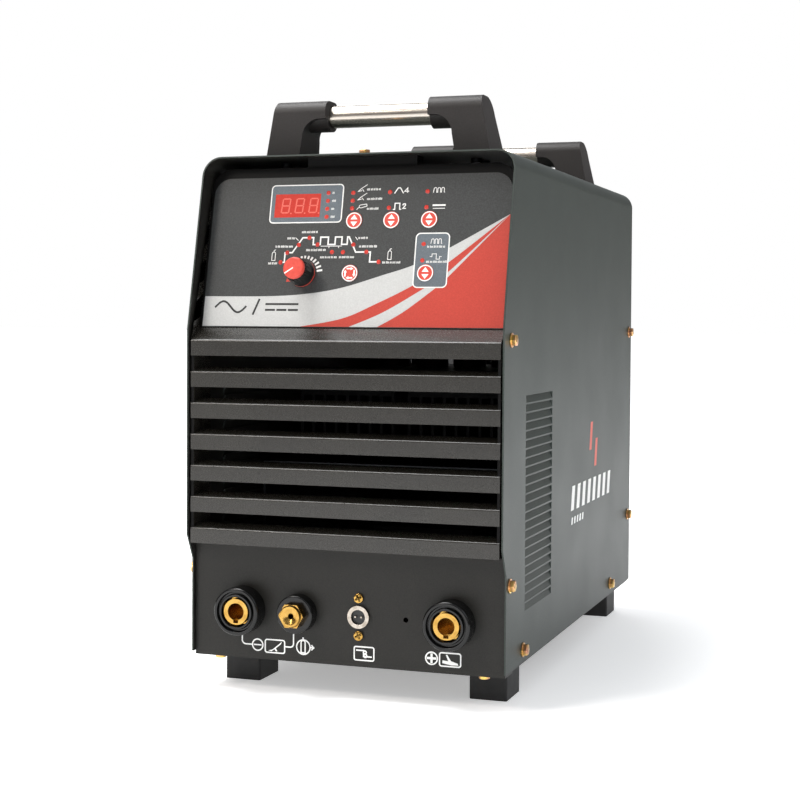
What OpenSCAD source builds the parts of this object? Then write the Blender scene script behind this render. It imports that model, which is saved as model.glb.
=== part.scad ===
/* [Case] */
// Width over the folded cover
case_w = 255; // [240:1:310]
// Depth of the cover, front edge to rear edge
case_d = 482.7; // [400:0.1:580]
// Height of the cover's top face above the floor
case_top = 417.7; // [385:0.1:500]
// Height of the cover's lower edge above the floor
cover_bottom = 29.3; // [29:0.1:30.5]
// Thickness of the steel sheets
sheet = 1.2; // [1:0.1:1.5]
// Outside radius of the cover's two top folds
fold_r = 15; // [8:0.5:20]
// Gap between the cover and the flanges inside it
cover_gap = 0.2; // [0.1:0.05:0.5]

/* [Front outline] */
// Lean of the control panel, degrees from upright
face_lean = 12.3; // [8:0.1:15]
// Length of the cover's leaning front edge along its slope
lean_len = 139; // [115:0.5:168]
// Height at which the front edge starts to step back
nose_z = 122.7; // [118:0.1:128]
// Height of the step in the front edge
step_h = 20; // [12:1:26]
// Depth of the step in the front edge
step_d = 10; // [6:0.5:12]

/* [Lower front plate] */
// Depth of the plate behind the cover's front edge
plate_in = 14; // [12.5:0.5:16]
// Height of the plate's visible top edge
plate_top = 115.7; // [110:0.1:118]
// Length of the plate's side flanges
flange_l = 22; // [18:1:26]
// Height of the side flanges' top
flange_top = 296; // [285:1:310]

/* [Louvres] */
// Height of the first louvre's top edge below the start of the lean
louvre_drop = 8.3; // [6:0.1:10]
// Distance from one front louvre to the next
louvre_pitch = 24.3; // [20:0.1:29]
// Height of a front louvre's upright face
louvre_face = 12; // [9:0.5:14]
// Depth of a front louvre's top
louvre_depth = 12; // [9:0.5:14]
// Rise of a front louvre's top towards its back
louvre_rise = 3.5; // [2:0.1:5]
// Wall thickness of the moulded front
wall = 2.2; // [1.8:0.1:3]
// Distance of the louvre faces behind the cover's front edge
louvre_in = 0.9; // [0.5:0.1:2]

/* [Control panel] */
// Depth of the panel's printed face behind the leaning edge, square to it
panel_in = 14.8; // [12:0.1:16]
// Thickness of the moulded panel wall
panel_t = 3; // [2.5:0.1:4]
// Length of bare panel above the overlay
panel_head = 7.9; // [5:0.1:9]
// Thickness of the printed overlay
overlay_t = 0.5; // [0.3:0.1:0.8]
// Width of the overlay
overlay_w = 244.6; // [236:0.1:246]
// Height of the overlay along the slope
overlay_h = 119.8; // [117:0.1:122]
// Radius of the overlay's upper corners
overlay_r = 13.5; // [8:0.5:16]
// Diameter of a key's cap
key_d = 13; // [10:0.1:14]
// Travel of a key
key_travel = 0.5; // [0.3:0.1:0.8]
// Gap round a key
key_gap = 0.3; // [0.2:0.05:0.4]
// Diameter of an indicator lamp
led_d = 3.5; // [3:0.1:4]
// Width of the display window
window_w = 38.2; // [34:0.1:40]
// Height of the display window
window_h = 18.8; // [16:0.1:20]
// Depth of the circuit board's face behind the overlay's face
board_in = 12.5; // [11.5:0.1:14]
// Thickness of the circuit boards
board_t = 1.6; // [1:0.1:2]
// Diameter of the knob's cap
knob_d = 17.2; // [15:0.1:18]
// Diameter of the knob's foot ring
knob_foot_d = 21.6; // [20:0.1:23]
// Height of the knob above the overlay
knob_h = 18.7; // [16:0.1:22]
// Diameter of the encoder's shaft
encoder_shaft_d = 6; // [5:0.1:6.35]

/* [Sockets] */
// Height of the sockets' centres above the floor
socket_z = 64.5; // [60:0.5:70]
// Distance of the two current sockets from the middle
socket_x = 84.8; // [78:0.1:92]
// Outside diameter of a current socket's collar
collar_d = 37; // [33:0.1:38]
// Reach of a current socket's collar in front of the plate
collar_l = 16; // [13:0.5:19]
// Diameter of a current socket's brass insert
insert_d = 20; // [18:0.1:22]
// Bore of a current socket
insert_bore = 13.3; // [12:0.1:14]
// Distance of the torch connector from the middle
torch_x = -38; // [-42:0.1:-34]
// Outside diameter of the torch connector's collar
torch_collar_d = 29.5; // [26:0.1:32]
// Reach of the torch connector's collar
torch_collar_l = 11; // [9:0.5:13]
// Width across the torch connector's flats
torch_flats = 17.5; // [16:0.1:19]
// Reach of the brass in front of the torch collar
torch_nose = 8.5; // [6:0.5:10]
// Gas bore of the torch connector
torch_bore = 4.5; // [3.5:0.1:6]
// Distance of the signal socket from the middle
signal_x = 11; // [8:0.1:14]
// Outside diameter of the signal socket's ring
signal_d = 17.5; // [16:0.1:18.5]
// Distance between the signal socket's two screws
signal_pitch = 28.6; // [26:0.1:32]
// Distance of the plain round hole from the middle
pilot_x = 48.5; // [46:0.1:52]
// Diameter of the plain round hole
pilot_d = 4; // [3:0.1:6]

/* [Handles] */
// Distance of a handle's front face behind the cover's front edge
handle_front = 75; // [72:0.5:90]
// Distance of the rear handle's front face from the cover's rear edge
handle_rear = 62.7; // [60:0.1:75]
// Height of a handle above the cover
handle_h = 48.3; // [46:0.1:58]
// Depth of a handle bracket at its base
bracket_d = 44; // [42:0.5:52]
// Distance of a bracket's outer foot from the middle
bracket_x = 94.6; // [90:0.1:98]
// Width of a bracket's foot
bracket_w = 28.6; // [26:0.1:32]
// Distance of a bracket's inner end from the middle
bracket_reach = 43; // [38:0.5:50]
// Diameter of the grip tube
tube_d = 18; // [16:0.1:19]
// Wall of the grip tube
tube_wall = 1.5; // [1:0.1:2.5]

/* [Feet] */
// Width of a foot
foot_w = 30; // [26:0.1:34]
// Length of a foot
foot_l = 38.6; // [33:0.1:46]
// Height of the underside of the base tray, which the feet carry
foot_h = 27.5; // [26.5:0.1:28]
// Distance of a foot's outer side from the middle
foot_x = 117.4; // [105:0.1:118]
// Distance of the front feet behind the cover's front edge
foot_front = 51.1; // [45:0.1:60]
// Distance of the rear feet in front of the cover's rear edge
foot_rear = 21; // [18:0.1:30]

/* [Side vents] */
// Distance of the vents behind the cover's front edge
vent_in = 62.8; // [55:0.1:75]
// Length of a pressed slat
vent_l = 86; // [72:0.1:103]
// Distance from one pressed slat to the next
vent_pitch = 6.93; // [5.8:0.01:8.3]
// Height of the highest slit
vent_top = 234; // [220:1:250]
// Height above the floor at which the slats end
vent_end = 61; // [55:0.5:75]
// Depth to which a slat is pressed in
vent_press = 3.4; // [2.5:0.1:4.5]

/* [Fasteners] */
// Diameter of the case bolts
bolt_d = 5; // [4:0.1:5]
// Width across flats of the case bolts
bolt_flats = 8; // [7:0.1:9]
// Height of the case bolts' heads
bolt_head = 3.5; // [2.5:0.1:4]
// Diameter of the case washers
washer_d = 11; // [10:0.1:13]
// Thickness of the case washers
washer_t = 1; // [0.6:0.1:1.5]
// Radial clearance of a screw in its hole
screw_gap = 0.1; // [0.05:0.01:0.2]

/* [Rear] */
// Depth of the rear panel's face inside the cover's rear edge
rear_in = 2; // [1:0.5:4]
// Size of the square fan
fan_size = 120; // [112:1:122]
// Depth of the fan
fan_t = 38; // [30:1:46]
// Height of the fan's centre
fan_z = 250; // [246:1:256]
// Distance of the supply gland from the middle
gland_x = -72; // [-78:1:-66]
// Height of the supply gland
gland_z = 92; // [88:1:98]
// Bore of the supply gland
gland_bore = 12; // [10:0.1:13]
// Distance of the gas inlet from the middle
gas_x = 75; // [71:1:78]
// Diameter of the gas inlet's threaded spigot
gas_spigot_d = 13.2; // [10:0.1:15]
// How far the gas inlet stands out of the rear
gas_reach = 21; // [16:0.5:30]
// Diameter of the earth stud
earth_d = 6; // [5:0.1:8]

/* [Inside] */
// Height of the shelf that carries the power stage
shelf_z = 172; // [168:1:180]
// Half width of the shelf, over its legs
shelf_x = 108; // [104:0.5:110]
// Length of the heat sinks
sink_l = 210; // [175:1:230]
// Width of a heat sink
sink_w = 84; // [78:1:90]
// Height of a heat sink
sink_h = 62; // [52:1:70]
// Outside diameter of the gas hose
hose_d = 9; // [8:0.1:10]

/* [Hidden] */
$fn = 64;

half_w = case_w / 2;
inner_x = half_w - sheet;
flange_x = inner_x - cover_gap;
lean_h = lean_len * cos(face_lean);
lean_z = case_top - lean_h;
louvre_z = lean_z - louvre_drop;
louvre_n = 1 + floor((louvre_z - louvre_face - plate_top) / louvre_pitch + 0.01);
moulding_x = flange_x - sheet - 0.4;

// Depths are counted from the cover's upright front edge, and the whole is centred front to back
torch_reach = torch_collar_l + torch_nose;
gland_reach = 24;
y_front = -(case_d - rear_in + gland_reach + plate_in - torch_reach) / 2;
plate_y = y_front + plate_in;
y_rear = y_front + case_d;
rear_y = y_rear - rear_in;

// The panel's own axes: x across, s up the slope, h out of the printed face
panel_y = y_front + panel_in / cos(face_lean) - louvre_drop * tan(face_lean);
overlay_top = lean_len + louvre_drop / cos(face_lean) - panel_head - 9;
overlay_bottom = overlay_top - overlay_h;
panel_top = overlay_top + panel_head;
key_hole = key_d / 2 + key_gap;
key_flange_h = -overlay_t - panel_t - 0.3;
key_places = [[-2, 35.7], [28.4, 35.7], [58.7, 35.7], [-2, 77.4], [58.7, 77.4]];
knob_place = [-41.3, 77.4];
window_place = [-50.2, 23.1];
led_places = [[-25.1, 13.3], [-25.1, 19.7], [-25.1, 26.1], [-25.1, 32.5],
    [-4.6, 13.6], [-4.6, 19.9], [-4.6, 26], [25.5, 13.6], [25.5, 26.1], [55.7, 13.6], [55.7, 26.1],
    [55.7, 55], [55.6, 67.7], [-60.3, 68.5], [-55.3, 60.9], [-46.3, 54.7], [-37.8, 49.1],
    [-30.6, 54.6], [-18.1, 60.7], [-9.1, 60.8], [-1, 54.9], [10.1, 60.8], [20.6, 68.6]];
board_x = [-104, 74];
board_s = [6, 94];
post_places = [[-98, 12], [68, 12], [-98, 88], [68, 88]];
post_d = 8;

// Sockets in the lower plate
neck_d = 30;
torch_neck_d = 22;
signal_neck_d = 14;
insert_l = 46;
torch_l = 34;

// Handles
tube_drop = 12.3;
tube_y = 17;
tube_z = case_top + handle_h - tube_drop;
tube_end = bracket_x - 22;
handle_ys = [y_front + handle_front, y_rear - handle_rear];
handle_screw_ys = [11, 33];
handle_screw_x = bracket_x - bracket_w / 2;
handle_screw_l = 14;
handle_screw_d = 5;

// Case bolts
front_bolt_in = plate_in + 5;
rear_bolt_in = 12.7;
base_bolt_z = foot_h + sheet + 10.6;
upper_bolt_z = lean_z - 6.2;
lower_bolt_z = nose_z - step_h - 8.5;
side_bolt_places = [[y_front + front_bolt_in, upper_bolt_z], [y_front + front_bolt_in, lower_bolt_z],
    [y_rear - rear_bolt_in, upper_bolt_z + 3], [y_rear - rear_bolt_in, lower_bolt_z + 2],
    [y_front + 58.9, base_bolt_z], [y_rear - 95.9, base_bolt_z]];
top_bolt_ys = [y_front + 50, y_rear - rear_bolt_in];
bolt_l = 8;
vent_open = vent_pitch - 1.4;
tray_side = 24;
lip_l = 20;
base_screw_x = 108;
base_screw_y = y_front + 22;
base_screw_d = 4;

// Rear
rear_flange = 22;
fan_bore = fan_size / 2 - 2.5;
fan_hole = fan_bore - 0.5;
fan_hub_r = 21;
fan_pitch = fan_size - 15;
fan_y = rear_y - sheet - fan_t;
fan_pin_r = 2;
guard_t = 1.6;
gas_z = socket_z;
gas_hex = 17;
gas_hex_t = 6;
stem_d = 10;
gland_hex = 27;
gland_d = 23;
gland_stem_d = 20;
earth_z = 62;
earth_l = 15;
label_x = 30;
label_w = 96;
label_h = 60;
label_t = 0.8;
breaker_x = -72;
breaker_z = case_top - 62;
breaker_w = 36;
breaker_h = 54;
breaker_l = 52;
lever_pin_r = 2;

// Inside
floor_z = foot_h + sheet;
mid_y = (y_front + y_rear) / 2;
sink_y = [mid_y - sink_l / 2 + 5, mid_y + sink_l / 2 + 5];
sink_base = 8;
module_h = 12;
hose_bend = 25;
hose_y = y_front + 84;
valve_y = rear_y - 62;

// Frames
module on_panel(x, d) {
    translate([0, panel_y, louvre_z]) rotate([90 - face_lean, 0, 0])
        translate([x, overlay_top - d, 0]) children();
}
module on_plate(x, z) {
    translate([x, plate_y, z]) rotate([90, 0, 0]) children();
}
module on_rear(x, z) {
    translate([x, rear_y, z]) rotate([-90, 0, 0]) children();
}
module across(x0, x1) {
    translate([x0, 0, 0]) rotate([90, 0, 90]) linear_extrude(x1 - x0) children();
}
module both_sides() {
    children();
    mirror([1, 0, 0]) children();
}

// Shared shapes
module arch(w, h, r) {
    translate([-w / 2, 0]) square([w, h - r]);
    translate([-w / 2 + r, 0]) square([w - 2 * r, h]);
    for (x = [-w / 2 + r, w / 2 - r]) translate([x, h - r]) circle(r);
}
module rod(d, h0, h1) {
    translate([0, 0, h0]) cylinder(d = d, h = h1 - h0);
}
module hex_bar(flats, h0, h1) {
    translate([0, 0, h0]) cylinder(d = flats / cos(30), h = h1 - h0, $fn = 6);
}
module box(x, y, z) {
    translate([x[0], y[0], z[0]]) cube([x[1] - x[0], y[1] - y[0], z[1] - z[0]]);
}
module side_bolt_holes() {
    for (p = side_bolt_places) translate([-half_w - 1, p[0], p[1]]) rotate([0, 90, 0])
        cylinder(r = bolt_d / 2 + screw_gap, h = case_w + 2);
}

// Cover: one sheet folded over the top and both sides, cut to the leaning and stepped front
module front_profile() {
    polygon([[y_front, lean_z], [y_front + lean_h * tan(face_lean), case_top], [y_rear, case_top],
        [y_rear, cover_bottom], [y_front + step_d, cover_bottom],
        [y_front + step_d, nose_z - step_h], [y_front, nose_z]]);
}
module cover_bend(w, r, z) {
    translate([0, y_rear + 1, 0]) rotate([90, 0, 0]) linear_extrude(case_d + 2)
        translate([0, -5]) arch(w, z + 5, r);
}
module vent_slats() {
    vent_n = floor((vent_top - vent_end) / vent_pitch);
    for (i = [0 : vent_n - 1]) {
        z = vent_top - vent_press * 0.3 - i * vent_pitch;
        translate([0, 0, z]) children();
    }
}
module vent_slot() {
    box([inner_x - 1, half_w + 1], [y_front + vent_in, y_front + vent_in + vent_l], [-vent_open, 0]);
}
module vent_flap() {
    y0 = y_front + vent_in;
    translate([0, y0 + vent_l, 0]) rotate([90, 0, 0]) linear_extrude(vent_l)
        polygon([[half_w, -vent_open - 0.1], [half_w - sheet, -vent_open - 0.1],
            [inner_x - vent_press, -0.3], [half_w - vent_press, -0.3]]);
    for (y = [y0 - 0.1, y0 + vent_l + 0.1 - sheet])
        translate([0, y + sheet, 0]) rotate([90, 0, 0]) linear_extrude(sheet)
            polygon([[half_w, -vent_open - 0.1], [inner_x - vent_press, -0.3], [half_w - 0.1, -0.3]]);
}
module cover() {
    color("#5b605c") {
        difference() {
            intersection() {
                difference() {
                    cover_bend(case_w, fold_r, case_top);
                    cover_bend(inner_x * 2, fold_r - sheet, case_top - sheet);
                }
                across(-half_w, half_w) front_profile();
            }
            both_sides() vent_slats() vent_slot();
            side_bolt_holes();
            for (y = top_bolt_ys) translate([0, y, case_top - 5])
                cylinder(r = bolt_d / 2 + screw_gap, h = 10);
            handle_screw_places() cylinder(r = handle_screw_d / 2 + screw_gap, h = 10, center = true);
        }
        both_sides() vent_slats() vent_flap();
    }
}

// Base tray with its two upturned sides
module base_tray() {
    tray_y = [plate_y + sheet + 0.4, rear_y - sheet - 0.4];
    color("#3b3b39") difference() {
        union() {
            box([-flange_x, flange_x], tray_y, [foot_h, floor_z]);
            both_sides() box([flange_x - sheet, flange_x], tray_y, [foot_h, floor_z + tray_side]);
        }
        side_bolt_holes();
        foot_places() cylinder(r = base_screw_d / 2 + screw_gap, h = 10, center = true);
        both_sides() translate([base_screw_x, base_screw_y, foot_h])
            cylinder(r = base_screw_d / 2 + screw_gap, h = 10, center = true);
        both_sides() box([flange_x - sheet - 0.4, flange_x + 1],
            [y_front, plate_y + flange_l + 0.4], [floor_z, floor_z + tray_side + 1]);
        both_sides() box([flange_x - sheet - 0.4, flange_x + 1],
            [rear_y - rear_flange - 0.4, y_rear], [floor_z, floor_z + tray_side + 1]);
    }
}

// Lower front plate: the face with the sockets, two side flanges and a lip under the tray
module front_plate() {
    lip_z = foot_h - sheet;
    color("#3b3a36") difference() {
        union() {
            box([-flange_x, flange_x], [plate_y, plate_y + sheet], [lip_z, plate_top]);
            box([-flange_x, flange_x], [plate_y, plate_y + lip_l], [lip_z, foot_h]);
            both_sides() box([flange_x - sheet, flange_x], [plate_y, plate_y + flange_l],
                [floor_z + 0.4, flange_top]);
        }
        for (x = [-socket_x, socket_x]) on_plate(x, socket_z) rod(neck_d + 0.4, -5, 5);
        on_plate(torch_x, socket_z) rod(torch_neck_d + 0.4, -5, 5);
        on_plate(signal_x, socket_z) rod(signal_neck_d + 0.4, -5, 5);
        for (z = [-0.5, 0.5]) on_plate(signal_x, socket_z + z * signal_pitch)
            rod(3 + 2 * screw_gap, -5, 5);
        on_plate(pilot_x, socket_z) rod(pilot_d, -5, 5);
        side_bolt_holes();
        both_sides() translate([base_screw_x, base_screw_y, foot_h])
            cylinder(r = base_screw_d / 2 + screw_gap, h = 10, center = true);
    }
}

// Moulded front: control panel, louvres and the two cheeks that join them
module louvre(z, top) {
    y = y_front + louvre_in;
    across(-moulding_x, moulding_x) polygon([[y, z - louvre_face], [y, z], top,
        [top[0] + 0.5, top[1] - wall], [y + wall, z - wall], [y + wall, z - louvre_face]]);
}
module front_moulding() {
    y = y_front + louvre_in;
    corner = overlay_r + (moulding_x - overlay_w / 2);
    sill_s = overlay_bottom - 0.8;
    sill = [panel_y + sill_s * sin(face_lean), louvre_z + sill_s * cos(face_lean)];
    color("#3a3936") difference() {
        union() {
            on_panel(0, overlay_h + 4) translate([0, 0, -overlay_t - panel_t]) linear_extrude(panel_t)
                arch(2 * moulding_x, overlay_h + 4 + panel_head, corner);
            louvre(louvre_z, sill);
            for (i = [1 : louvre_n - 1]) {
                z = louvre_z - i * louvre_pitch;
                louvre(z, [y + louvre_depth, z + louvre_rise]);
            }
            both_sides() across(moulding_x - wall, moulding_x) polygon([[y + wall / 2, louvre_z - 1],
                [sill[0] + 2, sill[1] - 1], [sill[0] + 16, sill[1] - 1],
                [sill[0] + 16, louvre_z - louvre_face - (louvre_n - 1) * louvre_pitch],
                [y + wall / 2, louvre_z - louvre_face - (louvre_n - 1) * louvre_pitch]]);
            for (p = post_places) on_panel(p[0], p[1])
                rod(post_d, -board_in, -overlay_t - panel_t + 0.5);
            ledge();
        }
        for (p = key_places) on_panel(p[0], p[1]) rod(2 * key_hole, -8, 2);
        for (p = led_places) on_panel(p[0], p[1]) rod(led_d + 0.4, -8, 2);
        on_panel(knob_place[0], knob_place[1]) rod(7.4, -8, 2);
        on_panel(window_place[0], window_place[1])
            box([-window_w / 2 - 0.1, window_w / 2 + 0.1], [-window_h / 2 - 0.1, window_h / 2 + 0.1],
                [-8, 2]);
        translate([0, top_bolt_ys[0], case_top - 20]) cylinder(r = bolt_d / 2 + screw_gap, h = 30);
        side_bolt_holes();
    }
}
module ledge() {
    top_z = case_top - sheet - cover_gap;
    back = panel_y + panel_top * sin(face_lean) + panel_t;
    box([-45, 45], [back - 1, top_bolt_ys[0] + 10], [top_z - 3, top_z]);
    box([-45, 45], [back - 1, back + 2], [louvre_z + panel_top * cos(face_lean) - 5, top_z - 1]);
}

// Rear panel with flanges turned forward on its top and sides
module rear_panel() {
    flange_z = [floor_z + 0.4, case_top - fold_r - 4];
    top_z = case_top - sheet - cover_gap;
    color("#5b605c") difference() {
        union() {
            translate([0, rear_y, foot_h]) rotate([90, 0, 0]) linear_extrude(sheet)
                arch(2 * flange_x, top_z - foot_h, fold_r - sheet - cover_gap);
            both_sides() box([flange_x - sheet, flange_x], [rear_y - rear_flange, rear_y], flange_z);
            box([-half_w + fold_r + 4, half_w - fold_r - 4], [rear_y - rear_flange, rear_y],
                [top_z - sheet, top_z]);
        }
        on_rear(0, fan_z) rod(2 * fan_hole, -5, 5);
        fan_corners() rod(4 + 2 * screw_gap, -5, 5);
        on_rear(gland_x, gland_z) rod(gland_stem_d + 0.4, -5, 5);
        on_rear(gas_x, gas_z) rod(stem_d + 0.4, -5, 5);
        on_rear(0, earth_z) rod(earth_d + 2 * screw_gap, -5, 5);
        on_rear(breaker_x, breaker_z) box([-breaker_w / 2 - 0.2, breaker_w / 2 + 0.2],
            [-breaker_h / 2 - 0.2, breaker_h / 2 + 0.2], [-5, 5]);
        side_bolt_holes();
        translate([0, top_bolt_ys[1], case_top - 20]) cylinder(r = bolt_d / 2 + screw_gap, h = 30);
    }
}

// Printed overlay, cut for the keys, lamps, window and knob
module control_overlay() {
    color("#4c4c4b") difference() {
        on_panel(0, overlay_h) translate([0, 0, -overlay_t]) linear_extrude(overlay_t)
            arch(overlay_w, overlay_h, overlay_r);
        for (p = key_places) on_panel(p[0], p[1]) rod(2 * key_hole, -8, 2);
        for (p = led_places) on_panel(p[0], p[1]) rod(led_d + 0.2, -8, 2);
        on_panel(knob_place[0], knob_place[1]) rod(7.4, -8, 2);
        on_panel(window_place[0], window_place[1])
            box([-window_w / 2 - 0.1, window_w / 2 + 0.1], [-window_h / 2 - 0.1, window_h / 2 + 0.1],
                [-8, 2]);
    }
}
module display_window() {
    color("#7c1712") on_panel(window_place[0], window_place[1])
        box([-window_w / 2, window_w / 2], [-window_h / 2, window_h / 2],
            [-overlay_t - panel_t, 0]);
}
module display_module() {
    color("#2b2b2b") on_panel(window_place[0], window_place[1])
        box([-window_w / 2 + 0.3, window_w / 2 - 0.3], [-window_h / 2 + 0.2, window_h / 2 - 0.2],
            [-board_in, -overlay_t - panel_t - 0.1]);
}
module control_board() {
    color("#1f5a36") on_panel(0, 0)
        box(board_x, [-board_s[1], -board_s[0]], [-board_in - board_t, -board_in]);
}
module indicator_leds() {
    color("#c93a2e") for (p = led_places) on_panel(p[0], p[1]) {
        rod(led_d, -board_in, 0.1);
        translate([0, 0, 0.1]) cylinder(d1 = led_d, d2 = led_d * 0.72, h = 0.35, $fn = 32);
    }
}

// Keys: a cap through the overlay, a flange behind the wall and a stem onto its switch
module key(place) {
    color("#d64c3d") on_panel(place[0], place[1]) {
        rod(key_d, key_flange_h - 1, 0.7);
        rod(key_d + 2.6, key_flange_h - 1.4, key_flange_h);
        rod(5, -8.6, key_flange_h - 1);
    }
}
module key_switches() {
    color("#222222") for (p = key_places) on_panel(p[0], p[1]) {
        box([-3, 3], [-3, 3], [-board_in, -board_in + 2.6]);
        rod(3.4, -board_in + 2.5, -8.6 - key_travel - 0.1);
    }
}
module key_1() key(key_places[0]);
module key_2() key(key_places[1]);
module key_3() key(key_places[2]);
module key_4() key(key_places[3]);
module key_5() key(key_places[4]);

// Knob: foot ring, ribbed skirt and cap, on the encoder's shaft
module knob_body() {
    color("#26231f") on_panel(knob_place[0], knob_place[1]) difference() {
        union() {
            rod(knob_foot_d, 0.6, 2.2);
            translate([0, 0, 2.1]) cylinder(d1 = knob_foot_d - 2.6, d2 = knob_d - 0.6,
                h = knob_h - 5.1);
            for (a = [0 : 20 : 340]) rotate(a)
                box([0, knob_d / 2 + 0.6], [-0.5, 0.5], [2.1, knob_h - 4]);
        }
        rod(encoder_shaft_d + 0.04, 0, 13);
        rod(9, 0, 3);
    }
}
module knob_cap() {
    color("#d9503f") on_panel(knob_place[0], knob_place[1]) {
        rod(knob_d, knob_h - 3, knob_h - 0.9);
        translate([0, 0, knob_h - 0.9]) cylinder(d1 = knob_d, d2 = knob_d - 1.8, h = 0.9);
    }
}
module encoder_body() {
    color("#8d9094") on_panel(knob_place[0], knob_place[1]) difference() {
        union() {
            box([-6, 6], [-6, 6], [-board_in, -6]);
            rod(7, -6.1, 1.5);
        }
        rod(encoder_shaft_d + 0.1, -9, 3);
    }
}
module encoder_shaft() {
    color("#b9bcc0") on_panel(knob_place[0], knob_place[1]) rod(encoder_shaft_d, -8.8, 12.8);
}

// Current sockets: moulded collar and brass insert
module socket_collar(x) {
    color("#232323") on_plate(x, socket_z) difference() {
        union() {
            rod(collar_d, 0, collar_l - 1);
            translate([0, 0, collar_l - 1]) cylinder(d1 = collar_d, d2 = collar_d - 2, h = 1);
            rod(neck_d, -22, 0.1);
        }
        rod(insert_d / cos(30) + 0.3, -23, collar_l + 1);
        difference() {
            rod(collar_d - 6, collar_l - 3.5, collar_l + 1);
            rod(insert_d + 7, collar_l - 4, collar_l + 2);
        }
    }
}
module socket_insert(x) {
    color("#d6a445") on_plate(x, socket_z) difference() {
        union() {
            rod(insert_d, collar_l - 8, collar_l - 1);
            hex_bar(insert_d, collar_l - 26, collar_l - 7.9);
            rod(insert_d, collar_l - insert_l, collar_l - 25.9);
            rod(insert_d / cos(30) + 0.16, -21, -18);
        }
        rod(insert_bore, collar_l - 34, collar_l);
        box([-2, 2], [-insert_bore / 2 - 2, 0], [collar_l - 7, collar_l]);
    }
}
module negative_collar() socket_collar(-socket_x);
module negative_insert() socket_insert(-socket_x);
module positive_collar() socket_collar(socket_x);
module positive_insert() socket_insert(socket_x);

// Torch connector: collar and hexagonal brass body with a dished gas seat
module torch_collar() {
    color("#232323") on_plate(torch_x, socket_z) difference() {
        union() {
            rod(torch_collar_d, 0, torch_collar_l - 0.8);
            translate([0, 0, torch_collar_l - 0.8])
                cylinder(d1 = torch_collar_d, d2 = torch_collar_d - 1.6, h = 0.8);
            rod(torch_neck_d, -12, 0.1);
        }
        rod(16.2, -13, torch_collar_l + 1);
    }
}
module torch_connector() {
    tip = torch_collar_l + torch_nose;
    color("#d9a93f") on_plate(torch_x, socket_z) difference() {
        union() {
            hex_bar(torch_flats, torch_collar_l, tip - 2);
            translate([0, 0, tip - 2.05]) cylinder(d1 = torch_flats, d2 = torch_flats - 2, h = 2.05);
            rod(16, tip - torch_l - 8, torch_collar_l + 0.1);
            rod(8, tip - torch_l - 22, tip - torch_l - 7.9);
        }
        rod(torch_bore, -60, tip + 1);
        translate([0, 0, tip - 2.2]) cylinder(d1 = torch_bore, d2 = torch_flats - 4, h = 2.25);
    }
}

// Signal socket: threaded ring, insulator with two contacts and its two screws
module signal_ring() {
    color("#8d8f92") on_plate(signal_x, socket_z) difference() {
        union() {
            rod(signal_d, 0, 2.6);
            rod(signal_neck_d, -12, 0.1);
            for (z = [-0.5, 0.5]) translate([0, z * signal_pitch, 0]) rod(7.6, -sheet - 1, -sheet);
            box([-3.8, 3.8], [-signal_pitch / 2, signal_pitch / 2], [-sheet - 1, -sheet]);
        }
        rod(11.2, -13, 3);
        for (z = [-0.5, 0.5]) translate([0, z * signal_pitch, 0]) rod(3 + 2 * screw_gap, -4, 2);
    }
}
module signal_insert() {
    color("#1d1d1d") on_plate(signal_x, socket_z) {
        rod(11, -12, 0.4);
        for (x = [-2.4, 2.4]) translate([x, 0, 0]) rod(1.6, -20, 2.2);
    }
}
module signal_screws() {
    color("#c79a4a") for (z = [-0.5, 0.5]) on_plate(signal_x, socket_z + z * signal_pitch)
        difference() {
            union() {
                rod(7.2, 0, 1.2);
                translate([0, 0, 1.2]) cylinder(d1 = 7.2, d2 = 4.2, h = 1.1);
                rod(3, -6, 0.1);
            }
            for (a = [0, 90]) rotate(a) box([-2, 2], [-0.45, 0.45], [1.2, 3]);
        }
}

// Handles: two moulded brackets and a tube each
module bracket_side() {
    z0 = case_top;
    z1 = case_top + handle_h;
    r0 = 10;
    r1 = 14;
    back = 34;
    translate([r0, z1 - r0]) circle(r0);
    translate([back - r1, z1 - r1]) circle(r1);
    polygon([[0, z0], [bracket_d, z0], [back, z1 - r1], [back - r1, z1], [r0, z1], [0, z1 - r0]]);
}
module bracket_face() {
    z0 = case_top;
    z1 = case_top + handle_h;
    inner = bracket_x - bracket_w;
    arm = z1 - 15;
    r = 15;
    difference() {
        polygon([[inner, z0], [bracket_x, z0], [bracket_x - 8.6, z1], [bracket_reach, z1],
            [bracket_reach, arm], [inner - r - 3, arm], [inner - 3, arm - r]]);
        translate([inner - r - 3, arm - r]) circle(r);
    }
}
module bracket(y) {
    difference() {
        union() {
            intersection() {
                translate([0, y + 60, 0]) rotate([90, 0, 0]) linear_extrude(60) bracket_face();
                across(0, bracket_x + 1) translate([y, 0]) bracket_side();
            }
            across(bracket_reach, handle_screw_x) translate([y + tube_y, tube_z])
                circle(tube_d / 2 + 3);
        }
        across(bracket_reach - 1, tube_end + 0.2) translate([y + tube_y, tube_z])
            circle(tube_d / 2 + 0.05);
        for (d = handle_screw_ys) translate([handle_screw_x, y + d, case_top - 1])
            cylinder(r = handle_screw_d / 2 + screw_gap, h = handle_screw_l + 1.5);
    }
}
module grip_tube(y) {
    color("#d5d3cd") across(-tube_end, tube_end) translate([y + tube_y, tube_z]) difference() {
        circle(tube_d / 2);
        circle(tube_d / 2 - tube_wall);
    }
}
module handle_screw_places() {
    for (y = handle_ys, d = handle_screw_ys, x = [-handle_screw_x, handle_screw_x])
        translate([x, y + d, case_top]) children();
}
module front_handle_brackets() {
    color("#3f3e3b") both_sides() bracket(handle_ys[0]);
}
module rear_handle_brackets() {
    color("#3f3e3b") both_sides() bracket(handle_ys[1]);
}
module front_grip_tube() grip_tube(handle_ys[0]);
module rear_grip_tube() grip_tube(handle_ys[1]);
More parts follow.
